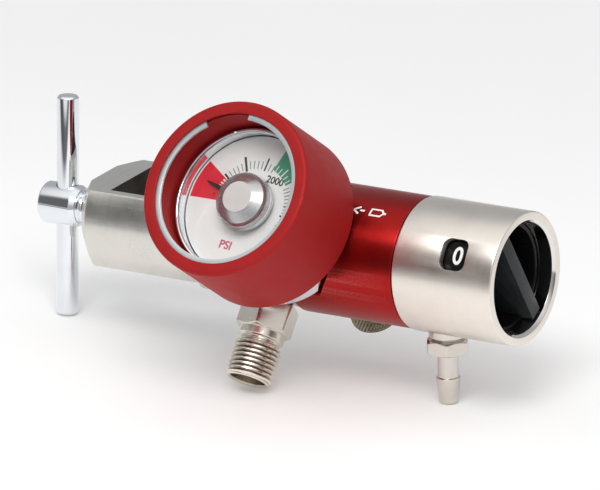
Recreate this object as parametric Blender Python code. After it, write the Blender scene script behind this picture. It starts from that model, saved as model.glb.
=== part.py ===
"""Carbon dioxide regulator: pin-index yoke, pressure gauge, click-stop flow selector.

Every piece is its own object. The pieces are drawn about "stations": empties whose +Z is the
axis of the fitting they carry. The body station runs along the regulator from the T-screw
(negative) to the open face of the selector (zero). The whole regulator then leans by the
small angle at which it rests on three feet: T-bar end, threaded outlet and barb.
"""

import math

import bmesh
import bpy
from mathutils import Matrix, Vector

MM = 0.001

# Stations along the body, measured from the open face of the selector housing.
BODY_END = -144.7 * MM
SLOT_START = -134.7 * MM
SEAT_FACE = -101.5 * MM
SHELL_START = -71.0 * MM
SHELL_END = -33.8 * MM
SPIGOT_END = -33.2 * MM
GAUGE_AT = -75.4 * MM
OUTLET_AT = -79.9 * MM
RELIEF_AT = -59.0 * MM
BARB_AT = -27.0 * MM
WINDOW_AT = -13.7 * MM
VENT_AT = -56.0 * MM
T_BAR_AT = -158.5 * MM

# Angles about the body axis, from straight down towards the front of the regulator.
GAUGE_ANGLE = math.radians(126.8)
OUTLET_ANGLE = math.radians(39.2)
BARB_ANGLE = math.radians(2.8)
RELIEF_ANGLE = math.radians(-25.0)
WINDOW_ANGLE = math.radians(124.0)
BACK_ANGLE = math.radians(-90.0)
T_BAR_LEAN = math.radians(6.6)
BLADE_LEAN = math.radians(-29.0)

# Main sizes.
GAP = 0.3 * MM
HOUSING_RADIUS = 19.82 * MM
SHELL_RADIUS = 19.53 * MM
YOKE_RADIUS = 18.7 * MM
SPIGOT_RADIUS = 17.3 * MM
YOKE_FLAT = 11.8 * MM
SLOT_HALF_WIDTH = 12.0 * MM
PISTON_BORE = 14.2 * MM
SPRING_BORE = 8.6 * MM
CASE_RADIUS = 22.6 * MM
CASE_BACK = 9.9 * MM
POCKET_RADIUS = 23.1 * MM
POCKET_FLOOR = 9.5 * MM
BOOT_RADIUS = 26.7 * MM
BOOT_BORE = 22.95 * MM
BOOT_BACK = 20.2 * MM
BOOT_FRONT = 50.8 * MM
DIAL_FACE = 34.8 * MM
SCREW_RADIUS = 5.95 * MM
SCREW_HEAD_RADIUS = 6.28 * MM
T_BAR_RADIUS = 3.31 * MM
T_BAR_HALF = 33.2 * MM
T_BAR_CHAMFER = 0.6 * MM
SCREW_TIP = -129.8 * MM
PISTON_HEAD_RADIUS = 13.85 * MM
RING_GROOVE_RADIUS = 11.9 * MM
RING_MIDDLE_RADIUS = 13.05 * MM
RING_THICKNESS = 1.8 * MM
BARB_HEX_ACROSS = 11.8 * MM
OUTLET_HEX_ACROSS = 15.2 * MM
KNOB_RADIUS = 17.2 * MM
LIP_BACK = -5.2 * MM
WINDOW_WIDTH = 8.5 * MM
WINDOW_HEIGHT = 9.5 * MM
WINDOW_CORNER = 2.5 * MM
CASE_WALL = 1.2 * MM
CASE_FRONT = 38.6 * MM
BARB_TIP = 41.3 * MM
BARB_TIP_RADIUS = 2.88 * MM
OUTLET_THREAD_RADIUS = 7.14 * MM
OUTLET_RIM_RADIUS = 6.35 * MM
OUTLET_BORE_RADIUS = 5.3 * MM
VENT_RADIUS = 0.8 * MM
PASSAGE_RADIUS = 0.9 * MM
PASSAGE_OFFSET = 15.7 * MM
PASSAGE_END = -40.0 * MM
CROSS_HOLE_AT = -41.0 * MM
INDEX_PIN_CIRCLE = 14.3 * MM
INDEX_PIN_ANGLE = math.radians(30.0)
INDEX_PIN_RADIUS = 1.98 * MM
DETENT_CIRCLE = 12.5 * MM
SELECTOR_STOPS = 12
ORIFICE_CIRCLE = 9.0 * MM
POINTER_REST = math.radians(-72.0)

# Pointer drive: a ten-tooth pinion and a sector cut from a fifty-tooth wheel.
GEAR_MODULE = 0.32 * MM
PINION_TEETH = 10
WHEEL_TEETH = 50
GEAR_CLEARANCE = 0.12 * MM
TOOTH_SHARE = 0.22
FLANK_SHARE = 0.16
SECTOR_SPREAD = math.radians(42.0)
PINION_BACK = 27.4 * MM
PINION_FRONT = 29.0 * MM
SECTOR_DIRECTION = math.radians(215.0)

# Footprint: moves the middle of the resting box onto the origin.
FOOTPRINT_MIDDLE = (-82.0 * MM, -18.15 * MM)

# A cutter that starts inside the body runs at least this far out from its axis.
OUTSIDE = 26.0 * MM

ROUND_LARGE = 36
ROUND_MEDIUM = 24
ROUND_SMALL = 12

scene_collection = bpy.context.scene.collection


# ---------------------------------------------------------------- scene helpers


def clear_scene():
    for old in list(bpy.data.objects):
        bpy.data.objects.remove(old, do_unlink=True)


def paint(name, colour, roughness, metallic=0.0):
    """A Principled material, made once for each name."""
    found = bpy.data.materials.get(name)
    if found:
        return found
    made = bpy.data.materials.new(name)
    made.use_nodes = True
    made.diffuse_color = (*colour, 1.0)
    shader = made.node_tree.nodes["Principled BSDF"]
    shader.inputs["Base Color"].default_value = (*colour, 1.0)
    shader.inputs["Roughness"].default_value = roughness
    shader.inputs["Metallic"].default_value = metallic
    return made


def nickel():
    return paint("nickel_plate", (0.72, 0.69, 0.65), 0.3, 1.0)


def chrome():
    return paint("chrome_plate", (0.80, 0.82, 0.84), 0.08, 1.0)


def brass():
    return paint("bare_brass", (0.72, 0.52, 0.26), 0.32, 1.0)


def red_anodised():
    return paint("red_anodised", (0.45, 0.02, 0.03), 0.32, 0.85)


def red_satin():
    return paint("red_satin", (0.50, 0.015, 0.02), 0.45, 0.3)


def spring_steel():
    return paint("spring_steel", (0.55, 0.56, 0.58), 0.25, 1.0)


def black_plastic():
    return paint("black_plastic", (0.015, 0.015, 0.017), 0.22)


def seal_rubber():
    return paint("seal_rubber", (0.02, 0.02, 0.02), 0.7)


def station(name, parent, location=(0.0, 0.0, 0.0), rotation=(0.0, 0.0, 0.0)):
    """An empty that carries the pieces of one axis."""
    empty = bpy.data.objects.new(name, None)
    empty.empty_display_size = 0.01
    empty.parent = parent
    empty.location = location
    empty.rotation_euler = rotation
    scene_collection.objects.link(empty)
    return empty


def solid(name, bm, parent, material, location=(0.0, 0.0, 0.0), turn=0.0):
    """Turns a finished bmesh into a named object on its station."""
    bmesh.ops.recalc_face_normals(bm, faces=bm.faces)
    mesh = bpy.data.meshes.new(name)
    bm.to_mesh(mesh)
    bm.free()
    mesh.shade_smooth()
    mesh.set_sharp_from_angle(angle=math.radians(35.0))
    mesh.materials.append(material)
    made = bpy.data.objects.new(name, mesh)
    made.parent = parent
    made.location = location
    made.rotation_euler = (0.0, 0.0, turn)
    scene_collection.objects.link(made)
    return made


def combine(target, name, bm, parent, operation="DIFFERENCE", location=(0.0, 0.0, 0.0), turn=0.0):
    """Cuts a shape from the target, or joins it on, with a hidden helper object."""
    helper = solid(f"{target.name}_{name}", bm, parent, target.data.materials[0], location, turn)
    helper.hide_render = True
    helper.display_type = "WIRE"
    boolean = target.modifiers.new(name, "BOOLEAN")
    boolean.operation = operation
    boolean.solver = "EXACT"
    boolean.object = helper
    return helper


# ---------------------------------------------------------------- shape helpers


def hexagon(across, limit):
    """Radius of a hexagon as a function of the angle, held inside a circle of radius limit."""

    def radius(angle):
        off = (angle + math.pi / 6) % (math.pi / 3) - math.pi / 6
        return min(limit, across / 2 / math.cos(off))

    return radius


def ridged(high, low, ridges):
    """Radius that swings between two values, for knurls and small teeth."""

    def radius(angle):
        return high if math.cos(angle * ridges) > 0 else low

    return radius


def turned(outline, segments):
    """A solid of revolution about Z. Each point of the outline is a radius, or a function of the
    angle that gives one, and a height. An outline that leaves the axis also comes back to it."""
    bm = bmesh.new()
    rings = []
    for radius, height in outline:
        if not callable(radius) and radius == 0:
            rings.append([bm.verts.new((0.0, 0.0, height))])
            continue
        circle = []
        for step in range(segments):
            angle = math.tau * step / segments
            reach = radius(angle) if callable(radius) else radius
            circle.append(bm.verts.new((reach * math.cos(angle), reach * math.sin(angle), height)))
        rings.append(circle)
    for one, two in zip(rings, rings[1:] + rings[:1]):
        if len(one) == 1 and len(two) == 1:
            continue
        for step in range(segments):
            after = (step + 1) % segments
            corners = [one[step % len(one)], one[after % len(one)]]
            corners += [two[after % len(two)], two[step % len(two)]]
            bm.faces.new(list(dict.fromkeys(corners)))
    return bm


def rod(radius, start, end, segments=ROUND_SMALL):
    return turned([(0, start), (radius, start), (radius, end), (0, end)], segments)


def ring(inner, outer, start, end, segments=ROUND_MEDIUM):
    return turned([(inner, start), (outer, start), (outer, end), (inner, end)], segments)


def seal_ring(middle, thickness, height, segments=ROUND_MEDIUM):
    """An O-ring with a five-sided section."""
    half = thickness / 2
    section = [math.tau * k / 5 for k in range(5)]
    outline = [(middle + half * math.cos(a), height + half * math.sin(a)) for a in section]
    return turned(outline, segments)


def block(low, high):
    """A box between two corners."""
    bm = bmesh.new()
    size = Vector(high) - Vector(low)
    middle = (Vector(high) + Vector(low)) / 2
    bmesh.ops.create_cube(bm, size=1.0, matrix=Matrix.Translation(middle) @ Matrix.Diagonal((*size, 1.0)))
    return bm


def plate(outline, low, high):
    """A flat plate cut to an outline."""
    bm = bmesh.new()
    bottom = [bm.verts.new((x, y, low)) for x, y in outline]
    top = [bm.verts.new((x, y, high)) for x, y in outline]
    bm.faces.new(bottom)
    bm.faces.new(top)
    for k in range(len(outline)):
        after = (k + 1) % len(outline)
        bm.faces.new([bottom[k], bottom[after], top[after], top[k]])
    return bm


def rounded_rectangle(width, height, corner, steps=4):
    """Corner points of a rectangle with round corners, about its middle."""
    points = []
    for quarter, (sx, sy) in enumerate([(1, 1), (-1, 1), (-1, -1), (1, -1)]):
        for step in range(steps + 1):
            angle = math.pi / 2 * (quarter + step / steps)
            x = sx * (width / 2 - corner) + corner * math.cos(angle)
            y = sy * (height / 2 - corner) + corner * math.sin(angle)
            points.append((x, y))
    return points


def add_cone(bm, base_radius, tip_radius, depth, place):
    """A six-sided cone or pin, for the small holes of the selector."""
    bmesh.ops.create_cone(
        bm,
        cap_ends=True,
        segments=6,
        radius1=base_radius,
        radius2=tip_radius,
        depth=depth,
        matrix=place,
    )


def swept(path, section):
    """Moves a closed section along a path of (point, outward direction) pairs about Z."""
    bm = bmesh.new()
    rings = []
    for k, (point, outward) in enumerate(path):
        before = path[max(k - 1, 0)][0]
        after = path[min(k + 1, len(path) - 1)][0]
        across = (after - before).normalized().cross(outward).normalized()
        rings.append([bm.verts.new(point + outward * u + across * v) for u, v in section])
    for one, two in zip(rings, rings[1:]):
        for k in range(len(section)):
            after = (k + 1) % len(section)
            bm.faces.new([one[k], one[after], two[after], two[k]])
    bm.faces.new(rings[0])
    bm.faces.new(rings[-1])
    return bm


def arc_path(radius, start, end, height, steps):
    """Points on a circle about Z from one angle to another, with their outward directions."""
    path = []
    for k in range(steps + 1):
        angle = start + (end - start) * k / steps
        outward = Vector((math.cos(angle), math.sin(angle), 0.0))
        path.append((outward * radius + Vector((0.0, 0.0, height)), outward))
    return path


def coil_spring(radius, wire, start, end, turns, steps_per_turn=10):
    """An open coil spring about Z that fills the length from start to end."""
    low, high = start + wire, end - wire
    steps = round(turns * steps_per_turn)
    path = []
    for k in range(steps + 1):
        angle = math.tau * turns * k / steps
        outward = Vector((math.cos(angle), math.sin(angle), 0.0))
        path.append((outward * radius + Vector((0.0, 0.0, low + (high - low) * k / steps)), outward))
    corners = [math.tau * k / 4 for k in range(4)]
    return swept(path, [(wire * math.cos(a), wire * math.sin(a)) for a in corners])


# ---------------------------------------------------------------- resting pose


def radial(angle):
    """Direction square to the body axis, in body coordinates."""
    return Vector((0.0, -math.sin(angle), -math.cos(angle)))


def lowest(centre, direction, radius, lean):
    """Height of the lowest point of a round end face once the body leans."""
    height = centre.x * math.sin(lean) + centre.z * math.cos(lean)
    upright = direction.x * math.sin(lean) + direction.z * math.cos(lean)
    return height - radius * math.sqrt(1.0 - upright * upright)


def bar_foot(lean):
    down = Vector((0.0, -math.sin(T_BAR_LEAN), -math.cos(T_BAR_LEAN)))
    end = Vector((T_BAR_AT, 0.0, 0.0)) + down * T_BAR_HALF
    return lowest(end, down, T_BAR_RADIUS - T_BAR_CHAMFER, lean)


def barb_foot(lean):
    down = radial(BARB_ANGLE)
    return lowest(Vector((BARB_AT, 0.0, 0.0)) + down * BARB_TIP, down, BARB_TIP_RADIUS, lean)


def outlet_foot(lean, length):
    down = radial(OUTLET_ANGLE)
    return lowest(Vector((OUTLET_AT, 0.0, 0.0)) + down * length, down, OUTLET_RIM_RADIUS, lean)


def halve(low, high, is_low):
    """Narrows a bracket to the value at which is_low turns false."""
    for _ in range(50):
        middle = (low + high) / 2
        if is_low(middle):
            low = middle
        else:
            high = middle
    return (low + high) / 2


LEAN = halve(0.0, 0.2, lambda lean: bar_foot(lean) > barb_foot(lean))
OUTLET_TIP = halve(0.03, 0.06, lambda length: outlet_foot(LEAN, length) > barb_foot(LEAN))


def make_stations():
    """The empty of the resting pose and one empty for each axis of the regulator."""
    middle = Vector((FOOTPRINT_MIDDLE[0], FOOTPRINT_MIDDLE[1], 0.0))
    lift = -barb_foot(LEAN)
    rest = station("rest_frame", None, (-middle.x, -middle.y, lift), (0.0, -LEAN, 0.0))
    half_turn = math.pi
    return {
        "rest": rest,
        "body": station("body_axis", rest, (0, 0, 0), (math.pi / 2, 0.0, math.pi / 2)),
        "gauge": station("gauge_axis", rest, (GAUGE_AT, 0, 0), (half_turn - GAUGE_ANGLE, 0, 0)),
        "outlet": station("outlet_axis", rest, (OUTLET_AT, 0, 0), (half_turn - OUTLET_ANGLE, 0, 0)),
        "barb": station("barb_axis", rest, (BARB_AT, 0, 0), (half_turn - BARB_ANGLE, 0, 0)),
        "relief": station("relief_axis", rest, (RELIEF_AT, 0, 0), (half_turn - RELIEF_ANGLE, 0, 0)),
        "window": station("window_axis", rest, (WINDOW_AT, 0, 0), (half_turn - WINDOW_ANGLE, 0, 0)),
        "vent": station("vent_axis", rest, (VENT_AT, 0, 0), (half_turn - BACK_ANGLE, 0, 0)),
        "t_bar": station("t_bar_axis", rest, (T_BAR_AT, 0, 0), (-T_BAR_LEAN, 0, 0)),
    }


def on_body(angle, distance, along=0.0):
    """Place in the body station, whose X and Y are square to the regulator's length."""
    return (-math.sin(angle) * distance, -math.cos(angle) * distance, along)


# ---------------------------------------------------------------- yoke and inlet


def drill_low_pressure_passage(target, name, at, angle):
    """A bore along the wall from a fitting's hole, and the cross hole into the piston bore."""
    body = axes["body"]
    along = rod(PASSAGE_RADIUS, at, PASSAGE_END, 12)
    combine(target, f"{name}_passage", along, body, location=on_body(angle, PASSAGE_OFFSET))
    cross = station(f"{name}_cross_axis", axes["rest"], (CROSS_HOLE_AT, 0, 0), (math.pi - angle, 0, 0))
    reach = PASSAGE_OFFSET + PASSAGE_RADIUS / 2
    combine(target, f"{name}_cross", rod(0.7 * PASSAGE_RADIUS, PISTON_BORE - 2 * MM, reach, 8), cross)


def make_yoke_body():
    outline = [
        (13.6 * MM, BODY_END),
        (YOKE_RADIUS, -140.4 * MM),
        (YOKE_RADIUS, SHELL_START),
        (SPIGOT_RADIUS, SHELL_START),
        (SPIGOT_RADIUS, SPIGOT_END),
        (PISTON_BORE, SPIGOT_END),
        (PISTON_BORE, -50.5 * MM),
        (SPRING_BORE, -50.5 * MM),
        (SPRING_BORE, -61.5 * MM),
        (3.3 * MM, -61.5 * MM),
        (3.3 * MM, -66.6 * MM),
        (3.1 * MM, -66.6 * MM),
        (3.1 * MM, -71.6 * MM),
        (1.5 * MM, -71.6 * MM),
        (1.5 * MM, -88.0 * MM),
        (3.0 * MM, -88.0 * MM),
        (3.0 * MM, -93.5 * MM),
        (3.4 * MM, -93.5 * MM),
        (3.4 * MM, -118.0 * MM),
        (6.25 * MM, -118.0 * MM),
        (6.25 * MM, BODY_END),
    ]
    yoke = solid("yoke_body", turned(outline, ROUND_LARGE), axes["body"], nickel())
    wide = OUTSIDE + 4 * MM
    slot = block((-SLOT_HALF_WIDTH, -wide, SLOT_START), (SLOT_HALF_WIDTH, wide, SEAT_FACE))
    combine(yoke, "slot", slot, axes["body"])
    for side, name in ((1, "top_flat"), (-1, "bottom_flat")):
        low, high = sorted((side * YOKE_FLAT, side * wide))
        flat = block((-wide, low, BODY_END - 1 * MM), (wide, high, SEAT_FACE - 2.5 * MM))
        combine(yoke, name, flat, axes["body"])
    pocket = rod(POCKET_RADIUS, POCKET_FLOOR, 32 * MM, ROUND_LARGE)
    combine(yoke, "gauge_pocket", pocket, axes["gauge"])
    port = [(0, -0.4 * MM), (1.1 * MM, -0.4 * MM), (1.1 * MM, 4.6 * MM), (5.2 * MM, 4.6 * MM)]
    port += [(5.2 * MM, 12 * MM), (0, 12 * MM)]
    combine(yoke, "gauge_port", turned(port, ROUND_SMALL), axes["gauge"])
    combine(yoke, "outlet_port", rod(5.2 * MM, 12.2 * MM, OUTSIDE), axes["outlet"])
    combine(yoke, "relief_port", rod(4.3 * MM, 12.6 * MM, OUTSIDE), axes["relief"])
    drill_low_pressure_passage(yoke, "outlet", OUTLET_AT, OUTLET_ANGLE)
    drill_low_pressure_passage(yoke, "relief", RELIEF_AT, RELIEF_ANGLE)
    combine(yoke, "vent", rod(VENT_RADIUS, SPRING_BORE - 1 * MM, OUTSIDE, 10), axes["vent"])
    for side, name in ((-1, "front_pin_hole"), (1, "back_pin_hole")):
        hole = rod(INDEX_PIN_RADIUS + 0.15 * MM, SEAT_FACE - 1 * MM, SEAT_FACE + 6.3 * MM, 12)
        combine(yoke, name, hole, axes["body"], location=on_body(-side * INDEX_PIN_ANGLE, INDEX_PIN_CIRCLE))


def make_inlet():
    nipple = [
        (1.3 * MM, SEAT_FACE + 7.7 * MM),
        (3.2 * MM, SEAT_FACE + 7.7 * MM),
        (3.2 * MM, SEAT_FACE - 4.4 * MM),
        (2.6 * MM, SEAT_FACE - 5.2 * MM),
        (1.3 * MM, SEAT_FACE - 5.2 * MM),
    ]
    solid("inlet_nipple", turned(nipple, ROUND_SMALL), axes["body"], brass())
    washer = ring(3.5 * MM, 7.0 * MM, SEAT_FACE - 2.6 * MM, SEAT_FACE - GAP)
    solid("inlet_washer", washer, axes["body"], paint("sealing_washer", (0.05, 0.05, 0.06), 0.6))
    inlet_filter = rod(2.75 * MM, -93.2 * MM, -88.3 * MM)
    bronze = paint("sintered_bronze", (0.45, 0.27, 0.12), 0.8, 0.9)
    solid("inlet_filter", inlet_filter, axes["body"], bronze)
    for side, name in ((-1, "front_index_pin"), (1, "back_index_pin")):
        tip = SEAT_FACE - 5.6 * MM
        outline = [(0, tip), (INDEX_PIN_RADIUS - 0.5 * MM, tip), (INDEX_PIN_RADIUS, tip + 0.5 * MM)]
        outline += [(INDEX_PIN_RADIUS, SEAT_FACE + 6 * MM), (0, SEAT_FACE + 6 * MM)]
        pin = turned(outline, 12)
        solid(name, pin, axes["body"], spring_steel(), on_body(-side * INDEX_PIN_ANGLE, INDEX_PIN_CIRCLE))


def make_yoke_screw():
    tip = SCREW_TIP
    outline = [
        (0, -165.5 * MM),
        (SCREW_HEAD_RADIUS - 0.6 * MM, -165.5 * MM),
        (SCREW_HEAD_RADIUS, -164.9 * MM),
        (SCREW_HEAD_RADIUS, -153.9 * MM),
        (5.5 * MM, -152.7 * MM),
        (5.1 * MM, -152.7 * MM),
        (5.1 * MM, -151.9 * MM),
        (SCREW_RADIUS, -151.2 * MM),
        (SCREW_RADIUS, tip - 1.0 * MM),
        (4.9 * MM, tip),
        (0, tip),
    ]
    screw = solid("yoke_screw", turned(outline, ROUND_MEDIUM), axes["body"], chrome())
    reach = SCREW_HEAD_RADIUS + 2 * MM
    combine(screw, "bar_hole", rod(T_BAR_RADIUS + 0.14 * MM, -reach, reach, ROUND_MEDIUM), axes["t_bar"])
    edge = T_BAR_RADIUS - T_BAR_CHAMFER
    bar = [
        (0, -T_BAR_HALF),
        (edge, -T_BAR_HALF),
        (T_BAR_RADIUS, -T_BAR_HALF + T_BAR_CHAMFER),
        (T_BAR_RADIUS, T_BAR_HALF - T_BAR_CHAMFER),
        (edge, T_BAR_HALF),
        (0, T_BAR_HALF),
    ]
    solid("t_bar", turned(bar, ROUND_MEDIUM), axes["t_bar"], chrome())
    pad = [(0, tip + GAP), (4.6 * MM, tip + GAP), (4.6 * MM, tip + 2.6 * MM), (1.6 * MM, tip + 4.4 * MM)]
    pad += [(0, tip + 4.4 * MM)]
    solid("thrust_pad", turned(pad, ROUND_SMALL), axes["body"], spring_steel())


# ---------------------------------------------------------------- red shell and pressure parts


def make_body_shell():
    bevel = 0.5 * MM
    inner = SPIGOT_RADIUS + GAP
    outline = [
        (inner, SHELL_START + GAP),
        (SHELL_RADIUS - bevel, SHELL_START + GAP),
        (SHELL_RADIUS, SHELL_START + GAP + bevel),
        (SHELL_RADIUS, SHELL_END),
        (inner, SHELL_END),
    ]
    shell = solid("body_shell", turned(outline, ROUND_LARGE), axes["body"], red_anodised())
    pocket = rod(POCKET_RADIUS + GAP, POCKET_FLOOR - GAP, 32 * MM, ROUND_LARGE)
    combine(shell, "gauge_pocket", pocket, axes["gauge"])
    combine(shell, "relief_hole", rod(4.5 * MM, 12 * MM, OUTSIDE), axes["relief"])
    combine(shell, "vent", rod(VENT_RADIUS, 12 * MM, OUTSIDE, 10), axes["vent"])


def make_piston():
    nozzle = [
        (0.8 * MM, -71.3 * MM),
        (2.85 * MM, -71.3 * MM),
        (2.85 * MM, -67.9 * MM),
        (1.5 * MM, -66.9 * MM),
        (0.8 * MM, -66.9 * MM),
    ]
    solid("high_pressure_seat", turned(nozzle, ROUND_SMALL), axes["body"], brass())
    head_back, head_front = -49.2 * MM, -44.6 * MM
    piston = [
        (0.9 * MM, -65.0 * MM),
        (2.2 * MM, -65.0 * MM),
        (2.2 * MM, -63.4 * MM),
        (2.9 * MM, -63.4 * MM),
        (2.9 * MM, -63.3 * MM),
        (2.15 * MM, -63.3 * MM),
        (2.15 * MM, -62.1 * MM),
        (2.9 * MM, -62.1 * MM),
        (2.9 * MM, head_back),
        (PISTON_HEAD_RADIUS, head_back),
        (PISTON_HEAD_RADIUS, -48.3 * MM),
        (RING_GROOVE_RADIUS, -48.3 * MM),
        (RING_GROOVE_RADIUS, -45.9 * MM),
        (PISTON_HEAD_RADIUS, -45.9 * MM),
        (PISTON_HEAD_RADIUS, head_front),
        (0.9 * MM, head_front),
    ]
    solid("regulating_piston", turned(piston, ROUND_MEDIUM), axes["body"], brass())
    seat = rod(2.0 * MM, -65.9 * MM, -65.2 * MM)
    solid("piston_seat_disc", seat, axes["body"], paint("seat_nylon", (0.75, 0.72, 0.62), 0.5))
    head_ring = seal_ring(RING_MIDDLE_RADIUS, RING_THICKNESS, -47.1 * MM)
    solid("piston_ring", head_ring, axes["body"], seal_rubber())
    solid("piston_stem_ring", seal_ring(2.7 * MM, 0.9 * MM, -62.7 * MM, 14), axes["body"], seal_rubber())
    spring = coil_spring(6.2 * MM, 0.85 * MM, -61.2 * MM, -49.5 * MM, 4, 10)
    solid("main_spring", spring, axes["body"], spring_steel())


# ---------------------------------------------------------------- selector


def make_selector_housing():
    bore = SPIGOT_RADIUS + GAP
    back = SHELL_END + GAP
    outline = [
        (bore, back),
        (HOUSING_RADIUS - 0.7 * MM, back),
        (HOUSING_RADIUS, back + 0.7 * MM),
        (HOUSING_RADIUS, -0.4 * MM),
        (HOUSING_RADIUS - 0.4 * MM, 0),
        (17.4 * MM, 0),
        (16.5 * MM, -0.9 * MM),
        (16.5 * MM, LIP_BACK),
        (bore, LIP_BACK),
    ]
    housing = solid("selector_housing", turned(outline, ROUND_LARGE), axes["body"], nickel())
    window = plate(rounded_rectangle(WINDOW_WIDTH, WINDOW_HEIGHT, WINDOW_CORNER), 12 * MM, 24 * MM)
    combine(housing, "window", window, axes["window"])
    combine(housing, "barb_hole", rod(5.75 * MM, 12 * MM, 24 * MM, ROUND_MEDIUM), axes["barb"])


def make_flow_body():
    front = -21.6 * MM
    outline = [
        (0, -38.0 * MM),
        (PISTON_HEAD_RADIUS, -38.0 * MM),
        (PISTON_HEAD_RADIUS, -36.7 * MM),
        (RING_GROOVE_RADIUS, -36.7 * MM),
        (RING_GROOVE_RADIUS, -34.3 * MM),
        (PISTON_HEAD_RADIUS, -34.3 * MM),
        (PISTON_HEAD_RADIUS, SPIGOT_END + GAP),
        (SPIGOT_RADIUS, SPIGOT_END + GAP),
        (SPIGOT_RADIUS, front),
        (0, front),
    ]
    flow = solid("flow_body", turned(outline, ROUND_MEDIUM), axes["body"], brass())
    feed = on_body(math.pi, ORIFICE_CIRCLE)
    combine(flow, "feed_bore", rod(1.0 * MM, -39 * MM, -20 * MM, 10), axes["body"], location=feed)
    combine(flow, "return_bore", rod(1.2 * MM, BARB_AT, -20 * MM, 10), axes["body"])
    port = [(0, 0), (1.1 * MM, 0), (1.1 * MM, 9.6 * MM), (3.9 * MM, 9.6 * MM), (3.9 * MM, 14.4 * MM)]
    port += [(5.75 * MM, 14.4 * MM), (5.75 * MM, 24 * MM), (0, 24 * MM)]
    combine(flow, "barb_port", turned(port, ROUND_SMALL), axes["barb"])
    pocket = on_body(BACK_ANGLE, DETENT_CIRCLE)
    combine(flow, "detent_bore", rod(1.75 * MM, -28.0 * MM, -20 * MM, 14), axes["body"], location=pocket)
    flow_ring = seal_ring(RING_MIDDLE_RADIUS, RING_THICKNESS, -35.5 * MM)
    solid("flow_body_ring", flow_ring, axes["body"], seal_rubber())
    half = 1.5 * MM
    ball = bmesh.new()
    bmesh.ops.create_uvsphere(ball, u_segments=12, v_segments=6, radius=half)
    solid("detent_ball", ball, axes["body"], spring_steel(), (pocket[0], pocket[1], -19.2 * MM - half))
    spring = coil_spring(1.1 * MM, 0.25 * MM, -27.7 * MM, -22.6 * MM, 4, 8)
    solid("detent_spring", spring, axes["body"], spring_steel(), pocket)


def make_selector_knob():
    rear, shoulder, rim = -19.1 * MM, -8.2 * MM, LIP_BACK - 0.3 * MM
    outline = [
        (0, -17.6 * MM),
        (7.5 * MM, -17.6 * MM),
        (7.5 * MM, rear),
        (15.9 * MM, rear),
        (15.9 * MM, shoulder),
        (KNOB_RADIUS, shoulder),
        (KNOB_RADIUS, rim),
        (14.8 * MM, rim),
        (14.3 * MM, -13.5 * MM),
        (0, -13.5 * MM),
    ]
    knob = solid("selector_knob", turned(outline, ROUND_LARGE), axes["body"], black_plastic())
    reach, half = 15.4 * MM, 2.25 * MM
    blade = block((-half, -reach, -14.5 * MM), (half, reach, -1.45 * MM))
    combine(knob, "blade", blade, axes["body"], "UNION", turn=-BLADE_LEAN)
    cones = bmesh.new()
    for stop in range(SELECTOR_STOPS):
        x, y, _ = on_body(BACK_ANGLE + math.tau * stop / SELECTOR_STOPS, DETENT_CIRCLE)
        place = Matrix.Translation((x, y, rear + 0.1 * MM))
        add_cone(cones, 1.2 * MM, 0.3 * MM, 1.6 * MM, place)
    combine(knob, "detents", cones, axes["body"])
    band = ring(16.15 * MM, 17.1 * MM, -18.9 * MM, shoulder - GAP, ROUND_LARGE)
    solid("number_ring", band, axes["body"], paint("black_ring", (0.02, 0.02, 0.022), 0.35))
    wheel = rod(10.6 * MM, -21.2 * MM, -19.4 * MM, ROUND_MEDIUM)
    disc = solid("orifice_disc", wheel, axes["body"], brass())
    holes = bmesh.new()
    for stop in range(1, SELECTOR_STOPS):
        x, y, _ = on_body(math.pi + math.tau * stop / SELECTOR_STOPS, ORIFICE_CIRCLE)
        place = Matrix.Translation((x, y, -20.3 * MM))
        add_cone(holes, 0.45 * MM, 0.45 * MM, 4 * MM, place)
    combine(disc, "orifices", holes, axes["body"])


def make_barb():
    across = BARB_HEX_ACROSS
    corner = across / math.sqrt(3)
    outline = [
        (1.5 * MM, 10.0 * MM),
        (3.6 * MM, 10.0 * MM),
        (3.6 * MM, 16.4 * MM),
        (5.45 * MM, 16.4 * MM),
        (5.45 * MM, 21.3 * MM),
        (4.5 * MM, 21.3 * MM),
        (4.5 * MM, 22.0 * MM),
        (across / 2 * 0.96, 22.0 * MM),
        (hexagon(across, corner), 22.6 * MM),
        (hexagon(across, corner), 25.6 * MM),
        (across / 2 * 0.96, 26.2 * MM),
        (3.05 * MM, 26.2 * MM),
        (3.05 * MM, 33.5 * MM),
        (3.58 * MM, 33.7 * MM),
        (3.58 * MM, 34.3 * MM),
        (BARB_TIP_RADIUS, BARB_TIP),
        (1.5 * MM, BARB_TIP),
    ]
    solid("barb_fitting", turned(outline, ROUND_MEDIUM), axes["barb"], nickel(), turn=math.radians(30))
    seal = ring(3.85 * MM, 5.3 * MM, 14.7 * MM, 16.1 * MM, ROUND_SMALL)
    solid("barb_seal", seal, axes["barb"], seal_rubber())


# ---------------------------------------------------------------- threaded outlet and relief valve


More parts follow.
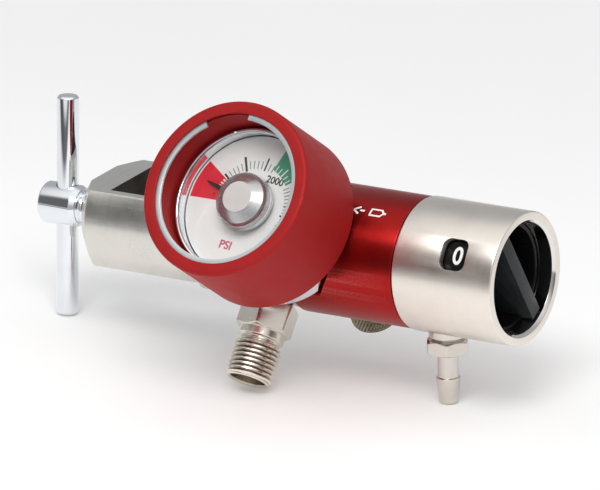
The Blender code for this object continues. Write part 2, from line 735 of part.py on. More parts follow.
def make_outlet():
    across = OUTLET_HEX_ACROSS
    corner = across / math.sqrt(3)
    hex_back, hex_front = 19.6 * MM, 28.8 * MM
    seat_shelf = 33.8 * MM
    outline = [
        (1.6 * MM, 12.8 * MM),
        (4.9 * MM, 12.8 * MM),
        (4.9 * MM, hex_back),
        (across / 2 * 0.97, hex_back),
        (hexagon(across, corner), hex_back + 0.8 * MM),
        (hexagon(across, corner), hex_front - 0.9 * MM),
        (across / 2 * 0.96, hex_front),
        (6.9 * MM, hex_front),
        (6.9 * MM, 31.0 * MM),
        (6.2 * MM, 31.4 * MM),
        (6.2 * MM, 32.2 * MM),
        (OUTLET_THREAD_RADIUS, 32.9 * MM),
        (OUTLET_THREAD_RADIUS, OUTLET_TIP - (OUTLET_THREAD_RADIUS - OUTLET_RIM_RADIUS)),
        (OUTLET_RIM_RADIUS, OUTLET_TIP),
        (OUTLET_BORE_RADIUS + 0.45 * MM, OUTLET_TIP),
        (OUTLET_BORE_RADIUS, OUTLET_TIP - 0.6 * MM),
        (OUTLET_BORE_RADIUS, seat_shelf),
        (3.5 * MM, seat_shelf),
        (3.5 * MM, 22.8 * MM),
        (1.6 * MM, 22.8 * MM),
    ]
    solid("outlet_fitting", turned(outline, ROUND_MEDIUM), axes["outlet"], nickel(), turn=math.radians(-14))
    solid("outlet_seal", seal_ring(5.85 * MM, 0.8 * MM, 19.1 * MM, 24), axes["outlet"], seal_rubber())
    seat = ring(2.1 * MM, OUTLET_BORE_RADIUS - 0.25 * MM, seat_shelf + 0.1 * MM, seat_shelf + 2.1 * MM, ROUND_SMALL)
    solid("outlet_seat", seat, axes["outlet"], brass())
    poppet = [
        (0, 27.0 * MM),
        (1.1 * MM, 27.0 * MM),
        (1.1 * MM, 31.4 * MM),
        (3.1 * MM, 31.4 * MM),
        (3.1 * MM, 33.2 * MM),
        (1.7 * MM, 33.6 * MM),
        (1.7 * MM, 38.0 * MM),
        (1.2 * MM, 38.6 * MM),
        (0, 38.6 * MM),
    ]
    solid("outlet_poppet", turned(poppet, ROUND_SMALL), axes["outlet"], brass())
    spring = coil_spring(2.4 * MM, 0.4 * MM, 23.1 * MM, 31.1 * MM, 4, 8)
    solid("outlet_spring", spring, axes["outlet"], spring_steel())


def make_relief_valve():
    back, front = 19.95 * MM, 27.5 * MM
    knurl = ridged(7.5 * MM, 7.15 * MM, 12)
    outline = [
        (2.75 * MM, 13.2 * MM),
        (4.0 * MM, 13.2 * MM),
        (4.0 * MM, back),
        (6.9 * MM, back),
        (knurl, back + 0.5 * MM),
        (knurl, front - 1.2 * MM),
        (6.2 * MM, front),
        (1.2 * MM, front),
        (1.2 * MM, 25.6 * MM),
        (2.75 * MM, 25.6 * MM),
    ]
    aged = paint("aged_brass", (0.22, 0.19, 0.11), 0.42, 0.9)
    solid("relief_valve_body", turned(outline, ROUND_MEDIUM), axes["relief"], aged)
    poppet = [(0, 12.9 * MM), (1.3 * MM, 12.9 * MM), (2.4 * MM, 13.9 * MM), (2.4 * MM, 16.0 * MM)]
    poppet += [(0, 16.0 * MM)]
    solid("relief_poppet", turned(poppet, ROUND_SMALL), axes["relief"], seal_rubber())
    spring = coil_spring(1.9 * MM, 0.35 * MM, 16.3 * MM, 25.3 * MM, 4, 8)
    solid("relief_spring", spring, axes["relief"], spring_steel())


# ---------------------------------------------------------------- gauge


def make_gauge_case():
    inner = CASE_RADIUS - CASE_WALL
    top = CASE_FRONT
    case = [
        (5.2 * MM, CASE_BACK),
        (CASE_RADIUS - 1.0 * MM, CASE_BACK),
        (CASE_RADIUS, CASE_BACK + 1.0 * MM),
        (CASE_RADIUS, top),
        (inner, top),
        (inner, CASE_BACK + CASE_WALL),
        (5.2 * MM, CASE_BACK + CASE_WALL),
    ]
    solid("gauge_case", turned(case, ROUND_LARGE), axes["gauge"], chrome())
    bevel = 0.9 * MM
    boot = [
        (BOOT_BORE, BOOT_BACK),
        (BOOT_RADIUS - bevel, BOOT_BACK),
        (BOOT_RADIUS, BOOT_BACK + bevel),
        (BOOT_RADIUS, BOOT_FRONT - bevel),
        (BOOT_RADIUS - bevel, BOOT_FRONT),
        (23.3 * MM, BOOT_FRONT),
        (23.3 * MM, 50.2 * MM),
        (23.9 * MM, 50.2 * MM),
        (23.9 * MM, 48.8 * MM),
        (BOOT_BORE, 48.8 * MM),
    ]
    solid("gauge_boot", turned(boot, ROUND_LARGE), axes["gauge"], red_satin())
    gap_start, gap_end = math.radians(90 - 1.4), math.radians(90 + 34.5)
    path = arc_path(22.5 * MM, gap_end, gap_start + math.tau, 49.5 * MM, 40)
    half_width, half_thick = 1.1 * MM, 0.45 * MM
    section = [(-half_width, -half_thick), (half_width, -half_thick)]
    section += [(half_width, half_thick), (-half_width, half_thick)]
    solid("boot_snap_ring", swept(path, section), axes["gauge"], chrome())
    bezel = [
        (22.3 * MM, top + GAP),
        (22.3 * MM, 39.4 * MM),
        (21.8 * MM, 39.9 * MM),
        (21.2 * MM, 39.8 * MM),
        (20.8 * MM, top + GAP),
    ]
    solid("gauge_bezel", turned(bezel, ROUND_LARGE), axes["gauge"], chrome())
    lens = ring(8.6 * MM, inner - 0.25 * MM, 37.3 * MM, top - 0.1 * MM, ROUND_LARGE)
    solid("gauge_lens", lens, axes["gauge"], paint("clear_lens", (0.9, 0.92, 0.93), 0.05))
    dial = ring(1.4 * MM, inner - 0.25 * MM, DIAL_FACE - 0.7 * MM, DIAL_FACE, ROUND_LARGE)
    solid("gauge_dial", dial, axes["gauge"], paint("dial_white", (0.85, 0.85, 0.84), 0.4))
    hub = [
        (0, 39.0 * MM),
        (6.6 * MM, 39.0 * MM),
        (6.6 * MM, 36.2 * MM),
        (8.3 * MM, 36.2 * MM),
        (8.3 * MM, 40.2 * MM),
        (7.6 * MM, 41.0 * MM),
        (4.7 * MM, 42.9 * MM),
        (0, 42.9 * MM),
    ]
    solid("gauge_hub_cap", turned(hub, ROUND_MEDIUM), axes["gauge"], chrome())
    angle = math.pi / 2 - POINTER_REST + math.radians(9)
    place = (13 * MM * math.cos(angle), 13 * MM * math.sin(angle), 0)
    stop = rod(0.4 * MM, DIAL_FACE + 0.1 * MM, 36.0 * MM, 10)
    solid("pointer_stop_pin", stop, axes["gauge"], brass(), place)


def gear_radius(teeth):
    """Radius of a toothed edge as a function of the angle, one tooth centred on angle zero."""
    pitch = teeth * GEAR_MODULE / 2

    def radius(angle):
        phase = (angle * teeth / math.tau + 0.5) % 1.0 - 0.5
        high = pitch + 0.8 * GEAR_MODULE
        low = pitch - 1.1 * GEAR_MODULE
        flank = (abs(phase) - TOOTH_SHARE / 2) / FLANK_SHARE
        return high - (high - low) * min(max(flank, 0.0), 1.0)

    return radius


def make_movement():
    socket = [
        (1.0 * MM, 4.9 * MM),
        (4.9 * MM, 4.9 * MM),
        (4.9 * MM, CASE_BACK + 1.5 * MM),
        (6.5 * MM, CASE_BACK + 1.5 * MM),
        (6.5 * MM, 19.0 * MM),
        (4.0 * MM, 19.0 * MM),
        (4.0 * MM, 24.0 * MM),
        (1.0 * MM, 24.0 * MM),
    ]
    solid("gauge_socket", turned(socket, ROUND_SMALL), axes["gauge"], brass())
    path = arc_path(14.5 * MM, math.radians(-95), math.radians(165), 15.2 * MM, 26)
    corners = [math.tau * k / 8 for k in range(8)]
    section = [(0.8 * MM * math.cos(a), 3.0 * MM * math.sin(a)) for a in corners]
    bronze = paint("phosphor_bronze", (0.55, 0.33, 0.16), 0.3, 1.0)
    tube = solid("bourdon_tube", swept(path, section), axes["gauge"], bronze)
    foot = block((-3.2 * MM, -15.4 * MM, 13.4 * MM), (0.4 * MM, -6.9 * MM, 17.0 * MM))
    combine(tube, "foot", foot, axes["gauge"], "UNION")

    spacing = (PINION_TEETH + WHEEL_TEETH) * GEAR_MODULE / 2 + GEAR_CLEARANCE
    pivot = Vector((math.cos(SECTOR_DIRECTION), math.sin(SECTOR_DIRECTION), 0.0)) * spacing
    teeth = gear_radius(PINION_TEETH)
    arbor = [
        (0, 24.5 * MM),
        (0.7 * MM, 24.5 * MM),
        (0.7 * MM, PINION_BACK),
        (teeth, PINION_BACK),
        (teeth, PINION_FRONT),
        (0.7 * MM, PINION_FRONT),
        (0.7 * MM, 36.0 * MM),
        (0, 36.0 * MM),
    ]
    # A gap of the pinion faces the sector, so the two are in mesh.
    turn = SECTOR_DIRECTION + math.pi / PINION_TEETH
    solid("pointer_arbor", turned(arbor, 4 * PINION_TEETH), axes["gauge"], brass(), turn=turn)

    wheel = gear_radius(WHEEL_TEETH)
    steps = 48
    edge = [SECTOR_SPREAD * (2 * k / steps - 1) for k in range(steps + 1)]
    outline = [(wheel(a) * math.cos(a), wheel(a) * math.sin(a)) for a in edge]
    outline += [(1.8 * MM * math.cos(a), 1.8 * MM * math.sin(a)) for a in (1.9, 2.5, math.pi, -2.5, -1.9)]
    sector_axis = station("sector_axis", axes["gauge"], pivot, (0, 0, SECTOR_DIRECTION + math.pi))
    segment = plate(outline, PINION_BACK + 0.2 * MM, PINION_FRONT - 0.2 * MM)
    sector = solid("sector_gear", segment, sector_axis, brass())
    combine(sector, "shaft", rod(0.7 * MM, 24.5 * MM, 31.5 * MM, 10), sector_axis, "UNION")

    lower, upper, thick = 25.0 * MM, 30.2 * MM, 1.0 * MM
    lower_plate = plate(frame_outline(pivot), lower, lower + thick)
    frame = solid("movement_frame", lower_plate, axes["gauge"], brass())
    combine(frame, "upper_plate", plate(frame_outline(pivot), upper, upper + thick), axes["gauge"], "UNION")
    for side, name in ((1, "left_pillar"), (-1, "right_pillar")):
        across = Vector((-pivot.y, pivot.x, 0.0)).normalized() * (side * 3.6 * MM)
        place = (across.x - pivot.x * 0.15, across.y - pivot.y * 0.15, 0)
        post = rod(0.9 * MM, lower + 0.3 * MM, upper + 0.7 * MM, 10)
        combine(frame, name, post, axes["gauge"], "UNION", place)
    for name, place in (("arbor_hole", (0, 0, 0)), ("sector_hole", tuple(pivot))):
        combine(frame, name, rod(0.95 * MM, 24.0 * MM, 33 * MM, 12), axes["gauge"], location=place)


def frame_outline(pivot):
    """Outline of a movement plate: a strip with round ends that holds both gear shafts."""
    along = pivot.normalized()
    across = Vector((-along.y, along.x, 0.0))
    half = 5.2 * MM
    points = []
    for centre, start in ((pivot, -90), (Vector((0.0, 0.0, 0.0)), 90)):
        for step in range(7):
            angle = math.radians(start + 30 * step)
            point = centre + along * half * math.cos(angle) + across * half * math.sin(angle)
            points.append((point.x, point.y))
    return points


def make_pointer():
    tip, tail = 16.8 * MM, -4.2 * MM
    outline = [(tail, -0.9 * MM), (tail, 0.9 * MM), (-1 * MM, 1.2 * MM)]
    outline += [(8 * MM, 1.0 * MM), (11 * MM, 0.7 * MM)]
    outline += [(tip, 0.15 * MM), (tip, -0.15 * MM), (11 * MM, -0.7 * MM), (8 * MM, -1.0 * MM)]
    outline += [(-1 * MM, -1.2 * MM)]
    black = paint("pointer_black", (0.02, 0.02, 0.02), 0.4)
    blade = plate(outline, DIAL_FACE + 0.45 * MM, DIAL_FACE + 0.85 * MM)
    turn = math.pi / 2 - POINTER_REST
    pointer = solid("gauge_pointer", blade, axes["gauge"], black, turn=turn)
    combine(pointer, "arbor_hole", rod(0.85 * MM, 30 * MM, 40 * MM, 12), axes["gauge"])


clear_scene()
axes = make_stations()
make_yoke_body()
make_inlet()
make_yoke_screw()
make_body_shell()
make_piston()
make_selector_housing()
make_flow_body()
make_selector_knob()
make_barb()
make_outlet()
make_relief_valve()
make_gauge_case()
make_movement()
make_pointer()
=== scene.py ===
"""Looks of the carbon dioxide regulator: fine meshes, finishes, floor, light and camera.

Each piece is drawn about the same axis as its CAD solid. The numbers in the outlines are
millimetres: a radius and a height, and a third number where the corner is rounded off.
"""

import math

import bmesh
import bpy
from mathutils import Matrix, Vector


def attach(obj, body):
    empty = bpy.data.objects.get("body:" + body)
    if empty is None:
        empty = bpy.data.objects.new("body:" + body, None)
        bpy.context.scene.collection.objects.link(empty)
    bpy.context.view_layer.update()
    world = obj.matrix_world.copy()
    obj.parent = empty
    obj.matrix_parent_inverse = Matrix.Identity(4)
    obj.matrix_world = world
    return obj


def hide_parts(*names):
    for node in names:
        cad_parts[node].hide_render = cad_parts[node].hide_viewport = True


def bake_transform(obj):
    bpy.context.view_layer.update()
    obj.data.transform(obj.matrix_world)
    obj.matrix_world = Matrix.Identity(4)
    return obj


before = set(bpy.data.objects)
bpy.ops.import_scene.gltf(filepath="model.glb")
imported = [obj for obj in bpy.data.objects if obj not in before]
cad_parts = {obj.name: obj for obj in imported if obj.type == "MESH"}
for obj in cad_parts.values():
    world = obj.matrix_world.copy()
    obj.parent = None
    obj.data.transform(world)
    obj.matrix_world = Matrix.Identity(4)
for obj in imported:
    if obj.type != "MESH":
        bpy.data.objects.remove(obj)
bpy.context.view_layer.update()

MM = 0.001
LEAN = 0.06185309  # how far the regulator tips where it rests, in radians
REST = Matrix.Translation((82.0 * MM, 18.15 * MM, 43.06751 * MM)) @ Matrix.Rotation(-LEAN, 4, "Y")
SHELL_RADIUS, NUMBER_RING_RADIUS, SELECTOR_POCKET_CIRCLE, STOPS = 19.53, 17.1, 12.5, 12
INDEX_PIN_ANGLE, INDEX_PIN_CIRCLE = 30.0, 14.3
SCREW_PITCH, OUTLET_PITCH, OUTLET_TIP = 1.5875, 1.41, 44.092
KNURL_ROWS, KNURL_START, KNURL_END = 42, 20.3, 26.5
DIAL_FACE, DIAL_PRINT = 34.8, 34.84  # heights of the white face and of the print on it
STRIP = 0.35  # height of the strips that print wrapped on a cylinder is cut into
HEX_CHAMFER = 1.73  # rise over run of a corner turned off at 30 degrees
CAMERA_TURN, CAMERA_PLACE, CAMERA_FOCUS = (33.304, 19.753, -3.227), (1622.3, -2586.7, 1110.5), 11239.0
PHOTO_WIDTH, SENSOR_WIDTH = 600.0, 36.0
GAUGE_ANGLE, OUTLET_ANGLE, BARB_ANGLE, RELIEF_ANGLE, WINDOW_ANGLE = 126.8, 39.2, 2.8, -25.0, 124.0


def radial_station(along, degrees):
    """Frame whose Z leaves the body axis at an angle from straight down towards the front."""
    return (
        REST @ Matrix.Translation((along * MM, 0, 0)) @ Matrix.Rotation(math.pi - math.radians(degrees), 4, "X")
    )


BODY = REST @ Matrix.Rotation(math.pi / 2, 4, "Z") @ Matrix.Rotation(math.pi / 2, 4, "X")
GAUGE = radial_station(-75.4, GAUGE_ANGLE)
OUTLET = radial_station(-79.9, OUTLET_ANGLE)
BARB = radial_station(-27.0, BARB_ANGLE)
RELIEF = radial_station(-59.0, RELIEF_ANGLE)
WINDOW = radial_station(-13.7, WINDOW_ANGLE)
VENT = radial_station(-56.0, -90.0)
T_BAR = REST @ Matrix.Translation((-158.5 * MM, 0, 0)) @ Matrix.Rotation(-math.radians(6.6), 4, "X")


# ---------------------------------------------------------------- finishes


class Nodes:
    """A few short calls for wiring a material."""

    def __init__(self, name):
        self.material = bpy.data.materials.new(name)
        self.material.use_nodes = True
        self.tree = self.material.node_tree
        self.shader = self.tree.nodes["Principled BSDF"]

    def add(self, kind, **values):
        node = self.tree.nodes.new(kind)
        for key, value in values.items():
            if hasattr(node, key):
                setattr(node, key, value)
            else:
                node.inputs[key.replace("_", " ")].default_value = value
        return node

    def link(self, source, target):
        self.tree.links.new(source, target)

    def noise(self, coords, scale, detail=3.0, rough=0.55):
        """Noise stretched by a different amount along each axis, in cycles per metre."""
        mapping = self.add("ShaderNodeMapping")
        mapping.inputs["Scale"].default_value = scale
        self.link(coords, mapping.inputs["Vector"])
        noise = self.add("ShaderNodeTexNoise")
        noise.inputs["Scale"].default_value = 1.0
        noise.inputs["Detail"].default_value = detail
        noise.inputs["Roughness"].default_value = rough
        self.link(mapping.outputs["Vector"], noise.inputs["Vector"])
        return noise.outputs["Fac"]

    def span(self, source, low, high, start=0.0, end=1.0):
        """Maps a value from low..high to start..end, held at both ends."""
        node = self.add("ShaderNodeMapRange")
        for name, value in (("From Min", low), ("From Max", high), ("To Min", start), ("To Max", end)):
            node.inputs[name].default_value = value
        self.link(source, node.inputs["Value"])
        return node.outputs["Result"]

    def plus(self, one, two, operation="ADD"):
        node = self.add("ShaderNodeMath")
        node.operation = operation
        for slot, value in ((0, one), (1, two)):
            if isinstance(value, (int, float)):
                node.inputs[slot].default_value = value
            else:
                self.link(value, node.inputs[slot])
        return node.outputs[0]

    def mix(self, factor, one, two):
        node = self.add("ShaderNodeMix")
        node.data_type = "RGBA"
        if isinstance(factor, float):
            node.inputs["Factor"].default_value = factor
        else:
            self.link(factor, node.inputs["Factor"])
        for name, value in (("A", one), ("B", two)):
            slot = [s for s in node.inputs if s.name == name and s.type == "RGBA"][0]
            if isinstance(value, tuple):
                slot.default_value = (*value, 1.0)
            else:
                self.link(value, slot)
        return [s for s in node.outputs if s.type == "RGBA"][0]


def shade(colour, factor):
    return tuple(min(1.0, c * factor) for c in colour)


def finish(
    name,
    colour,
    rough,
    metallic=1.0,
    grain=(60.0, 60.0, 9000.0),
    depth=0.004,
    blotch=0.10,
    vary=0.06,
    wear=0.25,
    stretch=0.0,
    specular=0.5,
    groove_shade=0.0,
):
    """A surface with fine grain, slow colour and gloss variation, paler worn edges and painted shade in its
    hollows.

    Grain is in cycles per metre along each axis of the piece, and depth is in millimetres.
    Stretch draws highlights out along the piece's axis, and the last argument sets how dark its grooves and hollows
    are painted, as painted shade.
    """
    n = Nodes(name)
    coords = n.add("ShaderNodeTexCoord").outputs["Object"]
    lines = n.noise(coords, grain, 4.0, 0.6)
    slow = n.noise(coords, (130.0, 130.0, 130.0), 3.0, 0.5)
    specks = n.noise(coords, (1900.0, 1900.0, 1900.0), 2.0, 0.6)
    tone = n.plus(n.span(lines, 0.3, 0.7, -0.5, 0.5), n.span(slow, 0.3, 0.7, -0.8, 0.8))
    ground = n.mix(n.span(tone, -1.0, 1.0), shade(colour, 1.0 - blotch), shade(colour, 1.0 + blotch))
    pointiness = n.add("ShaderNodeNewGeometry").outputs["Pointiness"]
    edge = n.span(pointiness, 0.52, 0.60)
    edge = n.plus(edge, n.span(specks, 0.35, 0.6), "MULTIPLY")
    edge = n.plus(edge, wear, "MULTIPLY")
    worn = tuple(min(1.0, 0.25 + 0.8 * c) for c in colour)
    # Painted shade: hollows and grooves, found by the mesh's pointiness, are darkened towards a sixth of the
    # colour.
    hollow = n.span(pointiness, 0.49, 0.43)
    hollow = n.plus(hollow, groove_shade, "MULTIPLY")
    n.link(n.mix(hollow, n.mix(edge, ground, worn), shade(colour, 0.16)), n.shader.inputs["Base Color"])
    gloss = n.plus(n.span(lines, 0.3, 0.7, -vary, vary), n.span(slow, 0.3, 0.7, -vary, vary))
    gloss = n.plus(n.plus(gloss, rough), n.span(specks, 0.55, 0.75, 0.0, vary))
    n.link(n.span(gloss, 0.0, 1.0), n.shader.inputs["Roughness"])
    n.shader.inputs["Metallic"].default_value = metallic
    n.shader.inputs["Specular IOR Level"].default_value = specular
    if stretch:
        n.shader.inputs["Anisotropic"].default_value = stretch
        n.shader.inputs["Anisotropic Rotation"].default_value = 0.25
        tangent = n.add("ShaderNodeTangent")
        tangent.direction_type = "RADIAL"
        tangent.axis = "Z"
        n.link(tangent.outputs["Tangent"], n.shader.inputs["Tangent"])
    bump = n.add("ShaderNodeBump")
    bump.inputs["Strength"].default_value = 0.35
    bump.inputs["Distance"].default_value = depth * MM
    n.link(n.plus(lines, n.plus(specks, 0.3, "MULTIPLY")), bump.inputs["Height"])
    n.link(bump.outputs["Normal"], n.shader.inputs["Normal"])
    n.material.diffuse_color = (*colour, 1.0)
    return n.material


TURNED = (40.0, 40.0, 7000.0)
EVEN = (2500.0, 2500.0, 2500.0)
ALONG = (4000.0, 4000.0, 60.0)

satin_nickel = finish(
    "satin_nickel", (0.83, 0.775, 0.71), 0.33, grain=TURNED, depth=0.002, blotch=0.045, vary=0.035, wear=0.15,
    stretch=0.65,
)
yoke_nickel = finish(
    "yoke_nickel", (0.70, 0.68, 0.635), 0.31, grain=TURNED, depth=0.002, blotch=0.05, vary=0.035, wear=0.2,
    stretch=0.65,
)
bore_nickel = finish("bore_nickel", (0.78, 0.75, 0.72), 0.10, grain=TURNED, depth=0.001, blotch=0.05, vary=0.03)
fitting_nickel = finish(
    "fitting_nickel", (0.80, 0.74, 0.66), 0.20, grain=EVEN, depth=0.003, blotch=0.08, vary=0.04, groove_shade=0.85
)
# A darker copy of the fitting nickel for the hose barb: painted shade.
shaded_barb_nickel = finish(
    "shaded_barb_nickel", (0.68, 0.635, 0.58), 0.22, grain=EVEN, depth=0.003, blotch=0.08, vary=0.04, groove_shade=0.85
)
chrome = finish("chrome", (0.82, 0.85, 0.88), 0.045, grain=TURNED, depth=0.0006, blotch=0.03, vary=0.012, wear=0.1)
soft_chrome = finish(
    "soft_chrome", (0.58, 0.58, 0.59), 0.24, 0.85, grain=TURNED, depth=0.002, blotch=0.05, vary=0.03
)
faced_steel = finish("faced_steel", (0.66, 0.62, 0.60), 0.42, 0.35, grain=EVEN, depth=0.003, blotch=0.05)
snap_steel = finish("snap_steel", (0.62, 0.68, 0.69), 0.34, 0.7, grain=EVEN, depth=0.001, blotch=0.04, vary=0.03)
red_gloss = finish(
    "red_anodised_turned", (0.38, 0.017, 0.016), 0.31, grain=TURNED, depth=0.0015, blotch=0.05, vary=0.03, wear=0.2,
    stretch=0.85,
)
red_matt = finish(
    "red_satin_coat", (0.375, 0.016, 0.017), 0.52, 0.25, grain=(700.0, 700.0, 3500.0), depth=0.004, blotch=0.05,
    wear=0.10, specular=0.16,
)
brass = finish("bare_brass", (0.74, 0.50, 0.20), 0.24, grain=TURNED, depth=0.004, blotch=0.15)
aged_brass = finish(
    "aged_brass", (0.28, 0.25, 0.165), 0.34, 0.9, grain=EVEN, depth=0.02, blotch=0.35, wear=0.6, groove_shade=0.9
)
bronze = finish("phosphor_bronze", (0.55, 0.33, 0.16), 0.28, grain=ALONG, depth=0.004)
sinter = finish("sintered_bronze", (0.45, 0.27, 0.12), 0.7, 0.9, grain=EVEN, depth=0.08, blotch=0.3)
steel = finish("spring_steel", (0.55, 0.56, 0.58), 0.22, grain=EVEN, depth=0.003)
gloss_black = finish(
    "gloss_black", (0.006, 0.006, 0.006), 0.22, 0.0, grain=EVEN, depth=0.002, blotch=0.3, vary=0.03, wear=0.03,
    specular=0.16,
)
blade_black = finish(
    "blade_black", (0.016, 0.019, 0.020), 0.38, 0.0, grain=EVEN, depth=0.005, blotch=0.25, wear=0.06, specular=0.20
)
# Painted shade: a dark finish on the cut faces of the yoke's slot, standing for the shade inside it.
slot_painted_shade = finish("slot_painted_shade", (0.12, 0.105, 0.09), 0.42, 0.7, grain=EVEN, depth=0.01, blotch=0.4, wear=0.2)
rubber = finish("seal_rubber", (0.02, 0.02, 0.02), 0.6, 0.0, grain=EVEN, depth=0.02, blotch=0.3, wear=0.1)
nylon = finish("seat_nylon", (0.75, 0.72, 0.62), 0.45, 0.0, grain=EVEN, depth=0.01)
dial_white = finish("dial_white", (0.92, 0.92, 0.90), 0.38, 0.0, grain=EVEN, depth=0.002, blotch=0.02, wear=0.0)
ink_black = finish("ink_black", (0.018, 0.018, 0.020), 0.5, 0.0, grain=EVEN, depth=0.002, blotch=0.4, wear=0.0)
ink_red = finish("ink_red", (0.80, 0.020, 0.045), 0.45, 0.0, grain=EVEN, depth=0.002, blotch=0.06, wear=0.0)
ink_rose = finish("ink_rose", (0.62, 0.10, 0.16), 0.45, 0.0, grain=EVEN, depth=0.002, blotch=0.1, wear=0.0)
ink_green = finish("ink_green", (0.055, 0.33, 0.20), 0.45, 0.0, grain=EVEN, depth=0.002, blotch=0.06, wear=0.0)
ink_grey = finish("ink_grey", (0.30, 0.32, 0.33), 0.5, 0.0, grain=EVEN, depth=0.002, blotch=0.2, wear=0.0)
ink_white = finish("ink_white", (0.88, 0.88, 0.87), 0.45, 0.0, grain=EVEN, depth=0.004, blotch=0.03, wear=0.0)


def clear_lens():
    """Thin clear plastic: see-through face on, more of a mirror at a glance."""
    n = Nodes("clear_lens")
    coords = n.add("ShaderNodeTexCoord").outputs["Object"]
    haze = n.noise(coords, (300.0, 300.0, 300.0), 4.0, 0.6)
    fresnel = n.add("ShaderNodeFresnel")
    fresnel.inputs["IOR"].default_value = 1.42
    n.link(n.span(fresnel.outputs["Fac"], 0.0, 1.0, 0.0, 0.6), n.shader.inputs["Alpha"])
    n.link(n.span(haze, 0.3, 0.7, 0.02, 0.06), n.shader.inputs["Roughness"])
    n.shader.inputs["Base Color"].default_value = (0.95, 0.97, 0.98, 1.0)
    n.shader.inputs["Metallic"].default_value = 1.0
    return n.material


# ---------------------------------------------------------------- mesh helpers


def rounded(outline, steps=5):
    """Rounds off each corner that has a third number, which is its radius."""
    made = []
    for k, point in enumerate(outline):
        if len(point) < 3 or callable(point[0]):
            made.append(tuple(point[:2]))
            continue
        corner = Vector(point[:2])
        back = Vector(outline[k - 1][:2]) - corner
        on = Vector(outline[(k + 1) % len(outline)][:2]) - corner
        opening = back.angle(on)
        cut = min(point[2] / math.tan(opening / 2), 0.48 * back.length, 0.48 * on.length)
        radius = cut * math.tan(opening / 2)
        centre = corner + (back.normalized() + on.normalized()).normalized() * (radius / math.sin(opening / 2))
        first = corner + back.normalized() * cut - centre
        last = corner + on.normalized() * cut - centre
        start = math.atan2(first.y, first.x)
        sweep = (math.atan2(last.y, last.x) - start + math.pi) % math.tau - math.pi
        for step in range(steps + 1):
            angle = start + sweep * step / steps
            made.append((centre.x + radius * math.cos(angle), centre.y + radius * math.sin(angle)))
    return made


def lathe(outline, segments=144):
    """A solid of revolution about Z. A radius may be a function of the angle and the height."""
    bm = bmesh.new()
    rings = []
    for radius, height in outline:
        if not callable(radius) and abs(radius) < 1e-9:
            rings.append([bm.verts.new((0, 0, height * MM))])
            continue
        circle = []
        for step in range(segments):
            angle = math.tau * step / segments
            reach = (radius(angle, height) if callable(radius) else radius) * MM
            circle.append(bm.verts.new((reach * math.cos(angle), reach * math.sin(angle), height * MM)))
        rings.append(circle)
    for one, two in zip(rings, rings[1:] + rings[:1]):
        if len(one) == 1 and len(two) == 1:
            continue
        for step in range(segments):
            after = (step + 1) % segments
            corners = [one[step % len(one)], one[after % len(one)], two[after % len(two)], two[step % len(two)]]
            bm.faces.new(list(dict.fromkeys(corners)))
    return bm


def zone(radius, start, end, count):
    """Rings from start to end that share one radius function."""
    return [(radius, start + (end - start) * k / count) for k in range(count + 1)]


def hexagon(across, start, end, chamfer_start=True, chamfer_end=True):
    """Rings of a hexagon bar whose corners are turned off at 30 degrees at its ends."""
    corner = across / math.sqrt(3)
    face = across / 2 * 0.965

    def radius(angle, height):
        off = (angle + math.pi / 6) % (math.pi / 3) - math.pi / 6
        reach = min(across / 2 / math.cos(off), corner - 0.12)
        if chamfer_start:
            reach = min(reach, face + (height - start) * HEX_CHAMFER)
        if chamfer_end:
            reach = min(reach, face + (end - height) * HEX_CHAMFER)
        return reach

    band = (corner - face) / HEX_CHAMFER
    return zone(radius, start, start + band, 10) + zone(radius, end - band, end, 10)


def thread(root, crest, pitch, start, end, chamfer_end=None, rows=12):
    """Rings of a single-start V thread that runs out smoothly at its start."""

    def radius(angle, height):
        turn = ((height - start) / pitch - angle / math.tau) % 1.0
        rise = min(max((1.0 - abs(2.0 * turn - 1.0) - 0.06) / 0.56, 0.0), 1.0)
        runout = min(max((height - start) / (0.8 * pitch), 0.0), 1.0)
        reach = root + (crest - root) * rise * runout
        if chamfer_end is not None:
            reach = min(reach, chamfer_end + (end - height))
        return reach

    return zone(radius, start, end, round((end - start) / pitch * rows))


def plate(outline, low, high):
    """A flat plate cut to an outline, all in millimetres."""
    bm = bmesh.new()
    bottom = [bm.verts.new((x * MM, y * MM, low * MM)) for x, y in outline]
    top = [bm.verts.new((x * MM, y * MM, high * MM)) for x, y in outline]
    bm.faces.new(bottom)
    bm.faces.new(top)
    for k in range(len(outline)):
        after = (k + 1) % len(outline)
        bm.faces.new([bottom[k], bottom[after], top[after], top[k]])
    return bm


def rod(radius, start, end, segments=64):
    return lathe([(0, start), (radius, start), (radius, end), (0, end)], segments)


def ring_outline(inner, outer, start, end, bevel):
    return rounded([(inner, start, bevel), (outer, start, bevel), (outer, end, bevel), (inner, end, bevel)], 3)


def block(low, high):
    outline = [(low[0], low[1]), (high[0], low[1]), (high[0], high[1]), (low[0], high[1])]
    return plate(outline, low[2], high[2])


def rounded_rectangle(width, height, corner, steps=8):
    points = []
    for quarter, (sx, sy) in enumerate([(1, 1), (-1, 1), (-1, -1), (1, -1)]):
        for step in range(steps + 1):
            angle = math.pi / 2 * (quarter + step / steps)
            x = sx * (width / 2 - corner) + corner * math.cos(angle)
            points.append((x, sy * (height / 2 - corner) + corner * math.sin(angle)))
    return points


def swept(path, section):
    """A closed section moved along (point, outward direction) pairs, with capped ends."""
    bm = bmesh.new()
    rings = []
    for k, (point, outward) in enumerate(path):
        along = path[min(k + 1, len(path) - 1)][0] - path[max(k - 1, 0)][0]
        across = along.normalized().cross(outward).normalized()
        rings.append([bm.verts.new((point + outward * u + across * v) * MM) for u, v in section])
    for one, two in zip(rings, rings[1:]):
        for k in range(len(section)):
            after = (k + 1) % len(section)
            bm.faces.new([one[k], one[after], two[after], two[k]])
    bm.faces.new(rings[0])
    bm.faces.new(rings[-1])
    return bm


def add_object(name, bm, place, material):
    bmesh.ops.recalc_face_normals(bm, faces=bm.faces)
    mesh = bpy.data.meshes.new(name)
    bm.to_mesh(mesh)
    bm.free()
    mesh.materials.append(material)
    made = bpy.data.objects.new(name, mesh)
    bpy.context.scene.collection.objects.link(made)
    made.matrix_world = place
    return made


